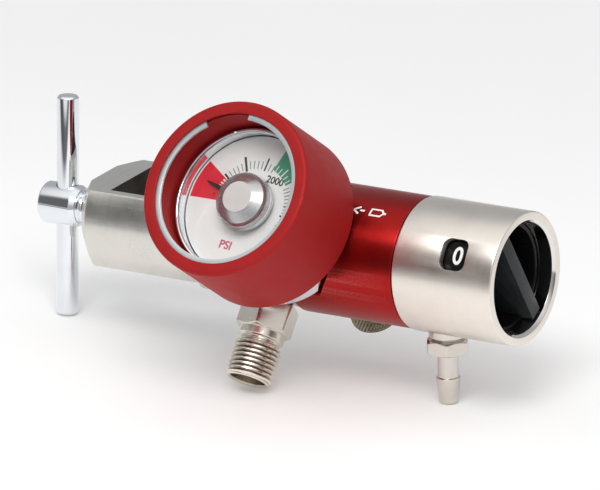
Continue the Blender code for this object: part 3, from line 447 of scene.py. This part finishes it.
def settle(target):
    """Makes the modifiers' result the object's own mesh."""
    bpy.context.view_layer.update()
    graph = bpy.context.evaluated_depsgraph_get()
    mesh = bpy.data.meshes.new_from_object(target.evaluated_get(graph))
    target.modifiers.clear()
    target.data = mesh


def combine(target, shapes):
    """Cuts shapes from the target, or joins them on: (operation, mesh, place) for each, and
    a fourth item where the new faces have a finish of their own."""
    helpers = []
    for operation, bm, place, *coat in shapes:
        helper = add_object("helper", bm, place, coat[0] if coat else target.data.materials[0])
        helpers.append(helper)
        boolean = target.modifiers.new("boolean", "BOOLEAN")
        boolean.operation = operation
        boolean.solver = "EXACT"
        boolean.material_mode = "TRANSFER"
        boolean.object = helper
    settle(target)
    for helper in helpers:
        bpy.data.objects.remove(helper, do_unlink=True)


def soften(target, width, angle=32.0, segments=3):
    """Rounds off every edge that is sharper than the angle."""
    bevel = target.modifiers.new("bevel", "BEVEL")
    bevel.width = width * MM
    bevel.segments = segments
    bevel.limit_method = "ANGLE"
    bevel.angle_limit = math.radians(angle)
    bevel.use_clamp_overlap = True
    bevel.miter_outer = "MITER_ARC"
    settle(target)


def piece(name, bm, place, material, body="body", stands_for=(), cuts=(), bevel=None, sharp=38.0):
    """A finished piece that rides on its CAD body and stands for CAD nodes."""
    made = add_object(name, bm, place, material)
    if cuts:
        combine(made, cuts)
    if bevel:
        soften(made, bevel)
    made.data.shade_smooth()
    made.data.set_sharp_from_angle(angle=math.radians(sharp))
    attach(made, body)
    if stands_for:
        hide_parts(*stands_for)
    return made


def on_body(degrees, distance):
    """Place in the body frame at an angle from straight down towards the front."""
    angle = math.radians(degrees)
    return Matrix.Translation((-math.sin(angle) * distance * MM, -math.cos(angle) * distance * MM, 0))


# ---------------------------------------------------------------- yoke, inlet and clamp screw


def build_yoke():
    outline = rounded([
        (13.6, -144.7, 0.4), (18.7, -140.4, 0.5), (18.7, -71.0, 0.3), (17.3, -71.0), (17.3, -33.2, 0.3),
        (14.2, -33.2), (14.2, -50.5), (8.6, -50.5), (8.6, -61.5), (3.3, -61.5), (3.3, -66.6), (3.1, -66.6),
        (3.1, -71.6), (1.5, -71.6), (1.5, -88.0), (3.0, -88.0), (3.0, -93.5), (3.4, -93.5), (3.4, -118.0),
        (6.25, -118.0), (6.25, -144.7, 0.5),
    ])
    port = [(0, -0.4), (1.1, -0.4), (1.1, 4.6), (5.2, 4.6), (5.2, 12.0), (0, 12.0)]
    cuts = [
        # The slot's cut faces take the dark finish: painted shade.
        ("DIFFERENCE", block((-12, -30, -134.7), (12, 30, -101.5)), BODY, slot_painted_shade),
        ("DIFFERENCE", block((-30, 11.8, -145.7), (30, 30, -104.0)), BODY),
        ("DIFFERENCE", block((-30, -30, -145.7), (30, -11.8, -104.0)), BODY),
        ("DIFFERENCE", rod(23.1, 9.5, 32.0, 144), GAUGE),
        ("DIFFERENCE", lathe(port, 48), GAUGE),
        ("DIFFERENCE", rod(5.2, 12.2, 26.0), OUTLET),
        ("DIFFERENCE", rod(4.3, 12.6, 26.0), RELIEF),
        ("DIFFERENCE", rod(0.8, 7.6, 26.0, 24), VENT),
    ]
    for side in (-1, 1):
        hole = rod(2.13, -102.5, -95.2, 32)
        cuts.append(("DIFFERENCE", hole, BODY @ on_body(-side * INDEX_PIN_ANGLE, INDEX_PIN_CIRCLE)))
    piece("yoke", lathe(outline, 180), BODY, yoke_nickel, stands_for=["yoke_body"],
          cuts=cuts, bevel=0.22)


def build_inlet():
    nipple = rounded([
        (1.3, -93.8), (3.2, -93.8, 0.2), (3.2, -105.9, 0.3), (2.6, -106.7, 0.3), (1.3, -106.7, 0.15),
    ])
    piece("inlet_nipple_turned", lathe(nipple, 64), BODY, brass, stands_for=["inlet_nipple"])
    washer = ring_outline(3.5, 7.0, -104.1, -101.8, 0.35)
    piece("inlet_washer_moulded", lathe(washer, 96), BODY, rubber, stands_for=["inlet_washer"])
    for side, node in ((-1, "front_index_pin"), (1, "back_index_pin")):
        pin = rounded([(0, -107.1), (1.98, -107.1, 0.6), (1.98, -95.5, 0.2), (0, -95.5)], 6)
        place = BODY @ on_body(-side * INDEX_PIN_ANGLE, INDEX_PIN_CIRCLE)
        piece(node + "_ground", lathe(pin, 40), place, steel, stands_for=[node])


def build_screw():
    outline = rounded([
        (0, -165.5), (6.28, -165.5, 0.7), (6.28, -154.5, 1.2), (5.5, -152.75, 0.5), (5.05, -152.75, 0.2),
        (5.05, -151.9, 0.2), (5.2, -151.4),
    ])
    outline += thread(5.15, 5.95, SCREW_PITCH, -151.3, -130.6)
    outline += rounded([(5.15, -130.5), (4.9, -129.8, 0.2), (0, -129.8)])
    hole = rod(3.45, -9.0, 9.0, 72)
    piece("clamp_screw", lathe(outline, 96), BODY, chrome, "screw", ["yoke_screw"],
          cuts=[("DIFFERENCE", hole, T_BAR)])
    bar = rounded([
        (0, -33.2), (2.0, -33.2), (2.75, -33.2, 0.4), (3.31, -32.6, 0.4), (3.31, 32.6, 0.4), (2.75, 33.2, 0.4),
        (2.0, 33.2), (0, 33.2),
    ], 6)
    piece("tommy_bar", lathe(bar, 128), T_BAR, chrome, "screw", ["t_bar"])
    pad = rounded([
        (0, -129.5), (4.6, -129.5, 0.3), (4.6, -127.2, 0.3), (1.6, -125.4, 0.4), (0, -125.4),
    ])
    piece("thrust_pad_turned", lathe(pad, 72), BODY, steel, "thrust_pad", ["thrust_pad"])


# ---------------------------------------------------------------- red shell


def wrapped(outline, radius, low, high, turn):
    """A small printed mark wrapped on the body: outline X runs along the body and Y around it."""
    bm = bmesh.new()
    fine = []
    for (x0, y0), (x1, y1) in zip(outline, outline[1:] + outline[:1]):
        steps = max(1, math.ceil(abs(y1 - y0) / STRIP))
        fine += [(x0 + (x1 - x0) * k / steps, y0 + (y1 - y0) * k / steps) for k in range(steps)]
    outline = fine
    sides = []
    for level in (low, high):
        side = []
        for x, y in outline:
            angle = turn + y / radius
            reach = (radius + level) * MM
            side.append(bm.verts.new((math.cos(angle) * reach, math.sin(angle) * reach, x * MM)))
        bm.faces.new(side)
        sides.append(side)
    for k in range(len(outline)):
        after = (k + 1) % len(outline)
        bm.faces.new([sides[0][k], sides[0][after], sides[1][after], sides[1][k]])
    return bm


def stroke(x0, y0, x1, y1, width):
    """Outline of a straight pen stroke with square ends."""
    along = Vector((x1 - x0, y1 - y0)).normalized()
    across = Vector((-along.y, along.x)) * (width / 2)
    ends = [Vector((x0, y0)), Vector((x1, y1))]
    corners = [ends[0] + across, ends[1] + across, ends[1] - across, ends[0] - across]
    return [(p.x, p.y) for p in corners]


def gather(parts):
    """Joins several small meshes into one."""
    whole = bmesh.new()
    for part in parts:
        mesh = bpy.data.meshes.new("part")
        bmesh.ops.recalc_face_normals(part, faces=part.faces)
        part.to_mesh(mesh)
        part.free()
        whole.from_mesh(mesh)
        bpy.data.meshes.remove(mesh)
    return whole


def around(degrees):
    """Angle in the body frame of a direction given from straight down towards the front."""
    angle = math.radians(degrees)
    return math.atan2(-math.cos(angle), -math.sin(angle))


def build_shell():
    outline = rounded([
        (17.6, -70.7, 0.2), (SHELL_RADIUS, -70.7, 0.5), (SHELL_RADIUS, -33.8, 0.25), (17.6, -33.8, 0.2),
    ])
    cuts = [
        ("DIFFERENCE", rod(23.4, 9.2, 32.0, 144), GAUGE),
        ("DIFFERENCE", rod(4.5, 12.0, 26.0), RELIEF),
        ("DIFFERENCE", rod(0.8, 12.0, 26.0, 24), VENT),
    ]
    piece("red_shell", lathe(outline, 180), BODY, red_gloss, stands_for=["body_shell"],
          cuts=cuts, bevel=0.12)
    turn = around(151.0)
    arrow = [
        stroke(-51.5, 0.0, -49.5, 1.3, 0.66), stroke(-51.5, 0.0, -49.5, -1.3, 0.66),
        stroke(-49.3, 0.0, -47.8, 0.0, 0.66),
    ]
    tank = [
        stroke(-45.7, -1.15, -45.7, 1.15, 0.55), stroke(-45.9, 1.15, -42.4, 1.15, 0.55),
        stroke(-45.9, -1.15, -42.4, -1.15, 0.55), stroke(-42.4, 1.35, -41.6, 0.35, 0.55),
        stroke(-42.4, -1.35, -41.6, -0.35, 0.55), stroke(-41.75, 0.0, -40.6, 0.0, 0.75),
    ]
    marks = gather([wrapped(shape, SHELL_RADIUS, -0.02, 0.03, turn) for shape in arrow + tank])
    piece("shell_marks", marks, BODY, ink_white)


# ---------------------------------------------------------------- selector


def text_mesh(words, size):
    """Flat letters centred on the origin, in millimetres."""
    curve = bpy.data.curves.new("letters", "FONT")
    curve.body = words
    curve.size = size
    curve.align_x = "CENTER"
    curve.align_y = "CENTER"
    curve.resolution_u = 6
    curve.offset = 0.022 * size
    holder = bpy.data.objects.new("letters", curve)
    bpy.context.scene.collection.objects.link(holder)
    bpy.context.view_layer.update()
    graph = bpy.context.evaluated_depsgraph_get()
    mesh = bpy.data.meshes.new_from_object(holder.evaluated_get(graph))
    bm = bmesh.new()
    bm.from_mesh(mesh)
    bpy.data.objects.remove(holder, do_unlink=True)
    bmesh.ops.remove_doubles(bm, verts=bm.verts, dist=0.0004 * size)
    return bm


def thicken(bm, depth):
    """Turns flat letters into thin closed solids, from the plane up."""
    grown = bmesh.ops.extrude_face_region(bm, geom=list(bm.faces))
    lifted = [v for v in grown["geom"] if isinstance(v, bmesh.types.BMVert)]
    bmesh.ops.translate(bm, verts=lifted, vec=(0, 0, depth))
    return bm


def numeral_on_ring(words, size, stretch, radius, along, turn):
    """A numeral wrapped on the number ring, read with the yoke to the left."""
    bm = thicken(text_mesh(words, size), 0.03)
    for step in range(-8, 9):  # cut into strips, or long strokes would sink under the ring
        whole = list(bm.verts) + list(bm.edges) + list(bm.faces)
        bmesh.ops.bisect_plane(bm, geom=whole, dist=1e-6, plane_co=(0, STRIP * step, 0), plane_no=(0, 1, 0))
    for v in bm.verts:
        x, y, lift = v.co
        angle = turn - y * stretch / radius
        reach = (radius - 0.015 + lift) * MM
        v.co = (math.cos(angle) * reach, math.sin(angle) * reach, (along + x) * MM)
    return bm


def build_selector():
    outline = rounded([
        (17.6, -33.5, 0.2), (19.82, -33.5, 0.65), (19.82, 0.0, 0.45), (17.4, 0.0, 0.25), (16.5, -0.9, 0.15),
        (16.1, -5.2, 0.1), (17.6, -5.2, 0.1),
    ])
    cuts = [
        ("DIFFERENCE", plate(rounded_rectangle(8.5, 9.5, 2.5), 12.0, 24.0), WINDOW),
        ("DIFFERENCE", rod(5.75, 12.0, 24.0, 72), BARB),
    ]
    sleeve = piece("selector_sleeve", lathe(outline, 192), BODY, satin_nickel,
                   stands_for=["selector_housing"], cuts=cuts, bevel=0.30)
    sleeve.data.materials.append(bore_nickel)
    mouth = len(sleeve.data.materials) - 1
    for face in sleeve.data.polygons:
        if face.center.z > -5.3 * MM and face.center.xy.length < 17.5 * MM and abs(face.normal.z) < 0.9:
            face.material_index = mouth

    knob = rounded([
        (0, -17.6), (7.5, -17.6, 0.2), (7.5, -19.1, 0.2), (15.9, -19.1, 0.2), (15.9, -8.2, 0.2), (17.2, -8.2, 0.2),
        (17.2, -5.5, 0.3), (14.8, -5.5, 0.4), (14.3, -13.5, 1.2), (0, -13.5),
    ])
    cones = []
    for stop in range(STOPS):
        cones.append(lathe([(0, -19.9), (1.2, -19.9), (0.3, -18.3), (0, -18.3)], 20))
        cones[-1].transform(on_body(-90 + 360 / STOPS * stop, SELECTOR_POCKET_CIRCLE))
    blade = block((-2.25, -15.4, -14.5), (2.25, 15.4, -1.45))
    place = BODY @ Matrix.Rotation(math.radians(29.0), 4, "Z")
    cuts = [("UNION", blade, place, blade_black), ("DIFFERENCE", gather(cones), BODY)]
    piece("selector_knob_moulded", lathe(knob, 160), BODY, gloss_black, "selector",
          ["selector_knob"], cuts=cuts, bevel=0.2)

    band = ring_outline(16.15, NUMBER_RING_RADIUS, -18.9, -8.5, 0.12)
    piece("number_ring_moulded", lathe(band, 144), BODY, gloss_black, "selector", ["number_ring"])
    numbers = ["0", "1", "2", "3", "4", "5", "6", "8", "10", "12", "15", "20"]
    digits = []
    for stop, words in enumerate(numbers):
        size = 6.6 if len(words) == 1 else 4.6
        turn = around(WINDOW_ANGLE) + math.tau * stop / len(numbers)
        digits.append(numeral_on_ring(words, size, 1.12, NUMBER_RING_RADIUS, -13.7, turn))
    piece("ring_numbers", gather(digits), BODY, ink_white, "selector")


# ---------------------------------------------------------------- fittings


def build_barb():
    outline = rounded([
        (1.5, 10.0), (3.6, 10.0, 0.2), (3.6, 16.4), (5.45, 16.4, 0.15), (5.45, 21.3, 0.35), (4.5, 21.3, 0.1),
        (4.5, 22.0, 0.1), (5.66, 22.0),
    ])
    outline += hexagon(11.8, 22.0, 26.2)
    outline += rounded([
        (5.66, 26.2), (3.05, 26.2, 0.35), (3.05, 33.55, 0.06), (3.6, 33.7, 0.08), (3.58, 34.4, 0.2),
        (2.88, 41.3, 0.3), (1.5, 41.3, 0.3),
    ])
    place = BARB @ Matrix.Rotation(math.radians(30), 4, "Z")
    piece("hose_barb", lathe(outline, 144), place, shaded_barb_nickel, stands_for=["barb_fitting"])


def build_outlet():
    tip = OUTLET_TIP
    outline = rounded([(1.6, 12.8), (4.9, 12.8, 0.3), (4.9, 19.6, 0.1), (7.33, 19.6)])
    outline += hexagon(15.2, 19.6, 28.8)
    outline += rounded([
        (7.33, 28.8), (6.9, 28.8, 0.2), (6.9, 31.0, 0.3), (6.15, 31.5, 0.3), (6.15, 32.1, 0.2), (6.28, 32.3),
    ])
    outline += thread(6.15, 7.14, OUTLET_PITCH, 32.4, tip - 0.45, chamfer_end=6.62)
    outline += rounded([
        (6.62, tip - 0.4), (6.35, tip, 0.25), (5.75, tip, 0.25), (5.3, tip - 0.6, 0.3), (5.3, 33.8, 0.3),
        (3.5, 33.8), (3.5, 22.8), (1.6, 22.8),
    ])
    place = OUTLET @ Matrix.Rotation(math.radians(-14), 4, "Z")
    piece("threaded_outlet", lathe(outline, 144), place, fitting_nickel,
          stands_for=["outlet_fitting"])
    seat = ring_outline(2.1, 5.05, 33.9, 35.9, 0.25)
    piece("check_seat", lathe(seat, 72), OUTLET, brass, stands_for=["outlet_seat"])
    poppet = rounded([
        (0, 27.0), (1.1, 27.0, 0.2), (1.1, 31.4), (3.1, 31.4, 0.2), (3.1, 33.2, 0.2), (1.7, 33.6, 0.1),
        (1.7, 38.1, 0.3), (1.2, 38.6, 0.3), (0, 38.6),
    ])
    piece("check_pin", lathe(poppet, 56), OUTLET, brass, "check_poppet", ["outlet_poppet"])


def build_relief():
    def knurl(angle, height):
        row = angle * KNURL_ROWS / math.tau
        one = abs(((row + height * 0.62) % 1.0) * 2 - 1)
        two = abs(((row - height * 0.62) % 1.0) * 2 - 1)
        fade = min(1.0, max(0.0, (height - KNURL_START) / 0.5)) * min(1.0, max(0.0, (KNURL_END - height) / 0.5))
        return 7.0 + 0.5 * min(one, two) ** 0.8 * fade

    outline = rounded([(2.75, 13.2), (4.0, 13.2, 0.2), (4.0, 19.95, 0.2), (6.8, 19.95, 0.3), (7.1, 20.25)])
    outline += zone(knurl, KNURL_START, KNURL_END, 34)
    outline += rounded([(7.1, 26.55), (6.2, 27.5, 0.4), (1.2, 27.5, 0.3), (1.2, 25.6), (2.75, 25.6)])
    piece("relief_cap", lathe(outline, 336), RELIEF, aged_brass, stands_for=["relief_valve_body"],
          sharp=30)


# ---------------------------------------------------------------- gauge


def dial_point(radius, clock):
    """Point on the dial at a clockwise angle from its top."""
    angle = math.radians(clock)
    return radius * math.sin(angle), radius * math.cos(angle)


def sector(inner, outer, start, end, low, high):
    steps = max(1, round(abs(end - start) / 2))
    outline = [dial_point(outer, start + (end - start) * k / steps) for k in range(steps + 1)]
    outline += [dial_point(inner, end + (start - end) * k / steps) for k in range(steps + 1)]
    return plate(outline, low, high)


def tick(inner, outer, clock, width, low=DIAL_FACE, high=DIAL_PRINT):
    return plate(stroke(*dial_point(inner, clock), *dial_point(outer, clock), width), low, high)


def dial_text(words, size, x, y, lean=0.0):
    bm = thicken(text_mesh(words, size), 0.04)
    bm.transform(
        Matrix.Scale(MM, 4) @ Matrix.Translation((x, y, DIAL_FACE)) @ Matrix.Rotation(math.radians(lean), 4, "Z")
    )
    return bm


def build_gauge():
    case = rounded([
        (5.2, 9.9), (22.6, 9.9, 1.2), (22.6, 38.6, 0.3), (21.4, 38.6, 0.3), (21.4, 11.1, 0.8), (5.2, 11.1),
    ], 8)
    piece("gauge_cup", lathe(case, 180), GAUGE, chrome, stands_for=["gauge_case"])

    boot = rounded([
        (22.95, 20.2, 0.4), (26.7, 20.2, 1.0), (26.7, 50.8, 1.1), (22.9, 50.8, 0.25), (22.9, 50.2, 0.05),
        (23.9, 50.2), (23.9, 48.8), (22.95, 48.8, 0.15),
    ], 7)
    piece("gauge_guard", lathe(boot, 216), GAUGE, red_matt, stands_for=["gauge_boot"])

    steps = 150
    start, end = 90 + 34.5, 360 + 90 - 1.4
    path = []
    for k in range(steps + 1):
        angle = math.radians(start + (end - start) * k / steps)
        outward = Vector((math.cos(angle), math.sin(angle), 0))
        path.append((outward * 22.5 + Vector((0, 0, 49.5)), outward))
    section = ring_outline(-1.1, 1.1, -0.45, 0.45, 0.12)
    piece("snap_ring", swept(path, section), GAUGE, snap_steel, stands_for=["boot_snap_ring"])

    bezel = rounded([
        (22.3, 38.9, 0.15), (22.3, 39.4, 0.3), (21.8, 39.95, 0.35), (21.15, 39.8, 0.3), (20.8, 38.9, 0.15),
    ], 5)
    piece("chrome_bezel", lathe(bezel, 180), GAUGE, chrome, stands_for=["gauge_bezel"])
    lens = ring_outline(8.6, 21.15, 37.3, 38.5, 0.15)
    piece("lens_clear", lathe(lens, 144), GAUGE, clear_lens(), stands_for=["gauge_lens"])
    face = ring_outline(1.4, 21.15, 34.1, DIAL_FACE, 0.06)
    piece("dial_plate", lathe(face, 144), GAUGE, dial_white, stands_for=["gauge_dial"])

    hub = rounded([
        (0, 39.0), (6.6, 39.0), (6.6, 36.2, 0.2), (8.3, 36.2, 0.2), (8.3, 40.2, 0.35), (7.6, 41.0, 0.5),
        (4.7, 42.9, 0.25), (0, 42.9),
    ], 6)
    cap = piece("hub_cap", lathe(hub, 144), GAUGE, soft_chrome, stands_for=["gauge_hub_cap"])
    cap.data.materials.append(faced_steel)
    for face in cap.data.polygons:
        if face.normal.z > 0.99 and face.center.z > 42.5 * MM:
            face.material_index = 1

    black = [tick(10.6, 13.8, -54.0, 0.62), tick(10.7, 15.3, -23.3, 0.72), tick(10.9, 14.9, 7.4, 0.5)]
    black += [tick(10.9, 14.6, 99.0, 0.55), tick(11.2, 13.4, 115.0, 0.5), tick(11.2, 13.4, 84.0, 0.36)]
    black += [dial_text("2000", 3.0, 5.9, 8.3, -6.0)]
    piece("dial_black", gather(black), GAUGE, ink_black)
    fine = [tick(11.2, 13.6, -54.0 + 6.14 * k, 0.32) for k in range(1, 13) if k not in (5, 10)]
    fine += [tick(11.2, 13.2, 58.0 + 5.125 * k, 0.32) for k in range(8)]
    piece("dial_fine_ticks", gather(fine), GAUGE, ink_grey)
    red = sector(10.9, 20.6, -90, -57, DIAL_FACE, DIAL_PRINT)
    piece("dial_red_zone", gather([red]), GAUGE, ink_red)
    green = sector(12.3, 20.6, 20.5, 53, DIAL_FACE, DIAL_PRINT)
    piece("dial_green_zone", gather([green]), GAUGE, ink_green)
    over = (DIAL_PRINT, DIAL_PRINT + 0.03)
    white = [tick(10.9, 12.9, clock, 0.5, *over) for clock in (-60, -64.5, -69)]
    white += [tick(12.4, 15.3, 37.0, 0.45, *over)]
    white += [tick(12.4, 14.2, clock, 0.3, *over) for clock in (24.7, 30.8, 43.1, 49.2)]
    piece("dial_white_ticks", gather(white), GAUGE, ink_white)
    legend = [dial_text("PSI", 3.5, -4.2, -12.9, -4.0)]
    piece("dial_legend", gather(legend), GAUGE, ink_rose)

    turn = math.pi / 2 + math.radians(72)
    blade = rounded([
        (-4.2, -0.9, 0.3), (-1.0, -1.2, 0.4), (8.0, -1.15, 0.4), (11.0, -0.8, 0.4), (16.8, -0.16, 0.1),
        (16.8, 0.16, 0.1), (11.0, 0.8, 0.4), (8.0, 1.15, 0.4), (-1.0, 1.2, 0.4), (-4.2, 0.9, 0.3),
    ], 3)
    hole = rod(0.85, 30.0, 40.0, 32)
    place = GAUGE @ Matrix.Rotation(turn, 4, "Z")
    piece("pointer_blade", plate(blade, 35.25, 35.65), place, ink_black, "pointer",
          ["gauge_pointer"], cuts=[("DIFFERENCE", hole, GAUGE)])


# ---------------------------------------------------------------- springs and hidden pieces


def build_spring(node, place, radius, wire, start, end, turns):
    """A round-wire coil spring as long as its CAD solid."""
    low, high = start + wire, end - wire
    steps = turns * 40
    path = []
    for k in range(steps + 1):
        angle = math.tau * turns * k / steps
        outward = Vector((math.cos(angle), math.sin(angle), 0))
        path.append((outward * radius + Vector((0, 0, low + (high - low) * k / steps)), outward))
    section = [(wire * math.cos(math.tau * k / 12), wire * math.sin(math.tau * k / 12)) for k in range(12)]
    wound = add_object(node + "_wound", swept(path, section), place, steel)
    wound.data.shade_smooth()
    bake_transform(wound)
    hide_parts(node)


def build_seal(node, place, middle, thickness, height, body="body"):
    half = thickness / 2
    outline = [
        (middle + half * math.cos(math.tau * k / 16), height + half * math.sin(math.tau * k / 16))
        for k in range(16)
    ]
    piece(node + "_round", lathe(outline, 96), place, rubber, body, [node])


def build_hidden():
    build_spring("main_spring", BODY, 6.2, 0.85, -61.2, -49.5, 4)
    detent = BODY @ on_body(-90, SELECTOR_POCKET_CIRCLE)
    build_spring("detent_spring", detent, 1.1, 0.25, -27.7, -22.6, 4)
    build_spring("outlet_spring", OUTLET, 2.4, 0.4, 23.1, 31.1, 4)
    build_spring("relief_spring", RELIEF, 1.9, 0.35, 16.3, 25.3, 4)
    build_seal("piston_ring", BODY, 13.05, 1.7, -47.1, "piston")
    build_seal("piston_stem_ring", BODY, 2.7, 0.9, -62.7, "piston")
    build_seal("flow_body_ring", BODY, 13.05, 1.7, -35.5)
    build_seal("outlet_seal", OUTLET, 5.85, 0.8, 19.1)
    coats = {
        "inlet_filter": sinter, "high_pressure_seat": brass, "flow_body": brass, "barb_seal": rubber,
        "gauge_socket": brass, "bourdon_tube": bronze, "movement_frame": brass, "pointer_stop_pin": brass,
        "regulating_piston": brass, "piston_seat_disc": nylon, "orifice_disc": brass, "detent_ball": steel,
        "relief_poppet": rubber, "pointer_arbor": brass, "sector_gear": brass,
    }
    for node, material in coats.items():
        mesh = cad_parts[node].data
        mesh.materials.clear()
        mesh.materials.append(material)


# ---------------------------------------------------------------- floor, light and camera


def build_stage():
    """A pale floor with a faint painted glow, strongest under the object to lift its shadow, and a dark strip off
    to the front left that the metal reflects.
    """
    n = Nodes("pale_sweep")
    coords = n.add("ShaderNodeTexCoord").outputs["Object"]
    slow = n.noise(coords, (6.0, 6.0, 6.0), 3.0, 0.5)
    fine = n.noise(coords, (900.0, 900.0, 900.0), 3.0, 0.6)
    pale = n.mix(n.span(slow, 0.3, 0.7), (0.83, 0.829, 0.828), (0.86, 0.859, 0.858))
    parts = n.add("ShaderNodeSeparateXYZ")
    n.link(coords, parts.inputs["Vector"])
    left = n.plus(n.plus(parts.outputs["X"], -0.55, "MULTIPLY"), n.plus(parts.outputs["Y"], -0.83, "MULTIPLY"))
    strip = n.plus(n.span(left, 0.30, 0.42), n.span(left, 0.64, 0.86, 1.0, 0.0), "MULTIPLY")
    n.link(n.mix(strip, pale, (0.06, 0.06, 0.065)), n.shader.inputs["Base Color"])
    n.link(n.span(fine, 0.2, 0.8, 0.5, 0.62), n.shader.inputs["Roughness"])
    n.shader.inputs["Specular IOR Level"].default_value = 0.25
    n.link(n.mix(strip, pale, (0.0, 0.0, 0.0)), n.shader.inputs["Emission Color"])
    # Painted light: the floor glows, most under the object, where its own shadow falls.
    reach = n.add("ShaderNodeVectorMath", operation="DISTANCE")
    n.link(coords, reach.inputs[0])
    reach.inputs[1].default_value = (0.02, -0.05, 0.0)
    n.link(n.span(reach.outputs["Value"], 0.06, 0.28, 0.20, 0.10), n.shader.inputs["Emission Strength"])
    bm = bmesh.new()
    bmesh.ops.create_circle(bm, cap_ends=True, segments=96, radius=6.0)
    floor = add_object("floor", bm, Matrix.Identity(4), n.material)


def build_light():
    """A room with a bright ceiling, a darker gap at the front left and another at the right, and two softboxes."""
    world = bpy.data.worlds.new("studio")
    bpy.context.scene.world = world
    world.use_nodes = True
    tree = world.node_tree
    tree.nodes.clear()

    def add(kind, **settings):
        node = tree.nodes.new(kind)
        for key, value in settings.items():
            setattr(node, key, value)
        return node

    def facing(direction, edge, core):
        """1 in a cone about a direction and 0 outside it, with a soft edge."""
        dot = add("ShaderNodeVectorMath", operation="DOT_PRODUCT")
        dot.inputs[1].default_value = Vector(direction).normalized()
        tree.links.new(coords.outputs["Generated"], dot.inputs[0])
        span = add("ShaderNodeMapRange", interpolation_type="SMOOTHSTEP")
        span.inputs["From Min"].default_value = math.cos(math.radians(edge))
        span.inputs["From Max"].default_value = math.cos(math.radians(core))
        tree.links.new(dot.outputs["Value"], span.inputs["Value"])
        return span.outputs["Result"]

    def toward(factor, colour, before):
        mix = add("ShaderNodeMix", data_type="RGBA")
        tree.links.new(factor, mix.inputs[0])
        tree.links.new(before, mix.inputs[6])
        mix.inputs[7].default_value = (*colour, 1.0)
        return mix.outputs[2]

    coords = add("ShaderNodeTexCoord")
    base = add("ShaderNodeRGB")
    base.outputs[0].default_value = (0.44, 0.45, 0.465, 1.0)
    look = base.outputs[0]
    look = toward(facing((0.05, -0.30, 0.95), 62, 30), (1.06, 1.055, 1.05), look)
    look = toward(facing((-0.52, -0.78, 0.34), 31, 13), (0.14, 0.135, 0.13), look)
    look = toward(facing((1.0, -0.10, 0.05), 30, 14), (0.10, 0.09, 0.09), look)
    background = add("ShaderNodeBackground")
    tree.links.new(look, background.inputs["Color"])
    output = add("ShaderNodeOutputWorld")
    tree.links.new(background.outputs[0], output.inputs["Surface"])

    def softbox(name, place, size, power):
        data = bpy.data.lights.new(name, "AREA")
        data.shape = "RECTANGLE"
        data.size, data.size_y = size
        data.energy = power
        data.color = (1.0, 0.997, 0.99)
        lamp = bpy.data.objects.new(name, data)
        bpy.context.scene.collection.objects.link(lamp)
        lamp.location = place
        lamp.rotation_euler = (Vector((0, 0, 0.03)) - Vector(place)).to_track_quat("-Z", "Y").to_euler()

    softbox("front_softbox", (0.35, -0.70, 1.15), (0.8, 0.5), 7.8)
    softbox("streak_softbox", (-0.12, -0.90, 1.18), (0.45, 0.30), 1.0)


def build_camera():
    azimuth, elevation, roll = (math.radians(angle) for angle in CAMERA_TURN)
    across = Vector((math.cos(azimuth), math.sin(azimuth), 0))
    back = Vector((
        math.sin(azimuth) * math.cos(elevation), -math.cos(azimuth) * math.cos(elevation), math.sin(elevation),
    ))
    up = back.cross(across)
    right = across * math.cos(roll) + up * math.sin(roll)
    top = -across * math.sin(roll) + up * math.cos(roll)
    pose = Matrix((right, top, back)).transposed().to_4x4()
    pose.translation = Vector(CAMERA_PLACE) * MM
    data = bpy.data.cameras.new("camera")
    data.sensor_width = SENSOR_WIDTH
    data.lens = CAMERA_FOCUS / PHOTO_WIDTH * SENSOR_WIDTH
    data.clip_start, data.clip_end = 0.1, 50.0
    camera = bpy.data.objects.new("camera", data)
    bpy.context.scene.collection.objects.link(camera)
    camera.matrix_world = REST @ pose
    bpy.context.scene.camera = camera
    bpy.context.scene.view_settings.view_transform = "Standard"


build_camera()
build_yoke()
build_inlet()
build_screw()
build_shell()
build_selector()
build_barb()
build_outlet()
build_relief()
build_gauge()
build_hidden()
build_stage()
build_light()

bpy.context.view_layer.update()
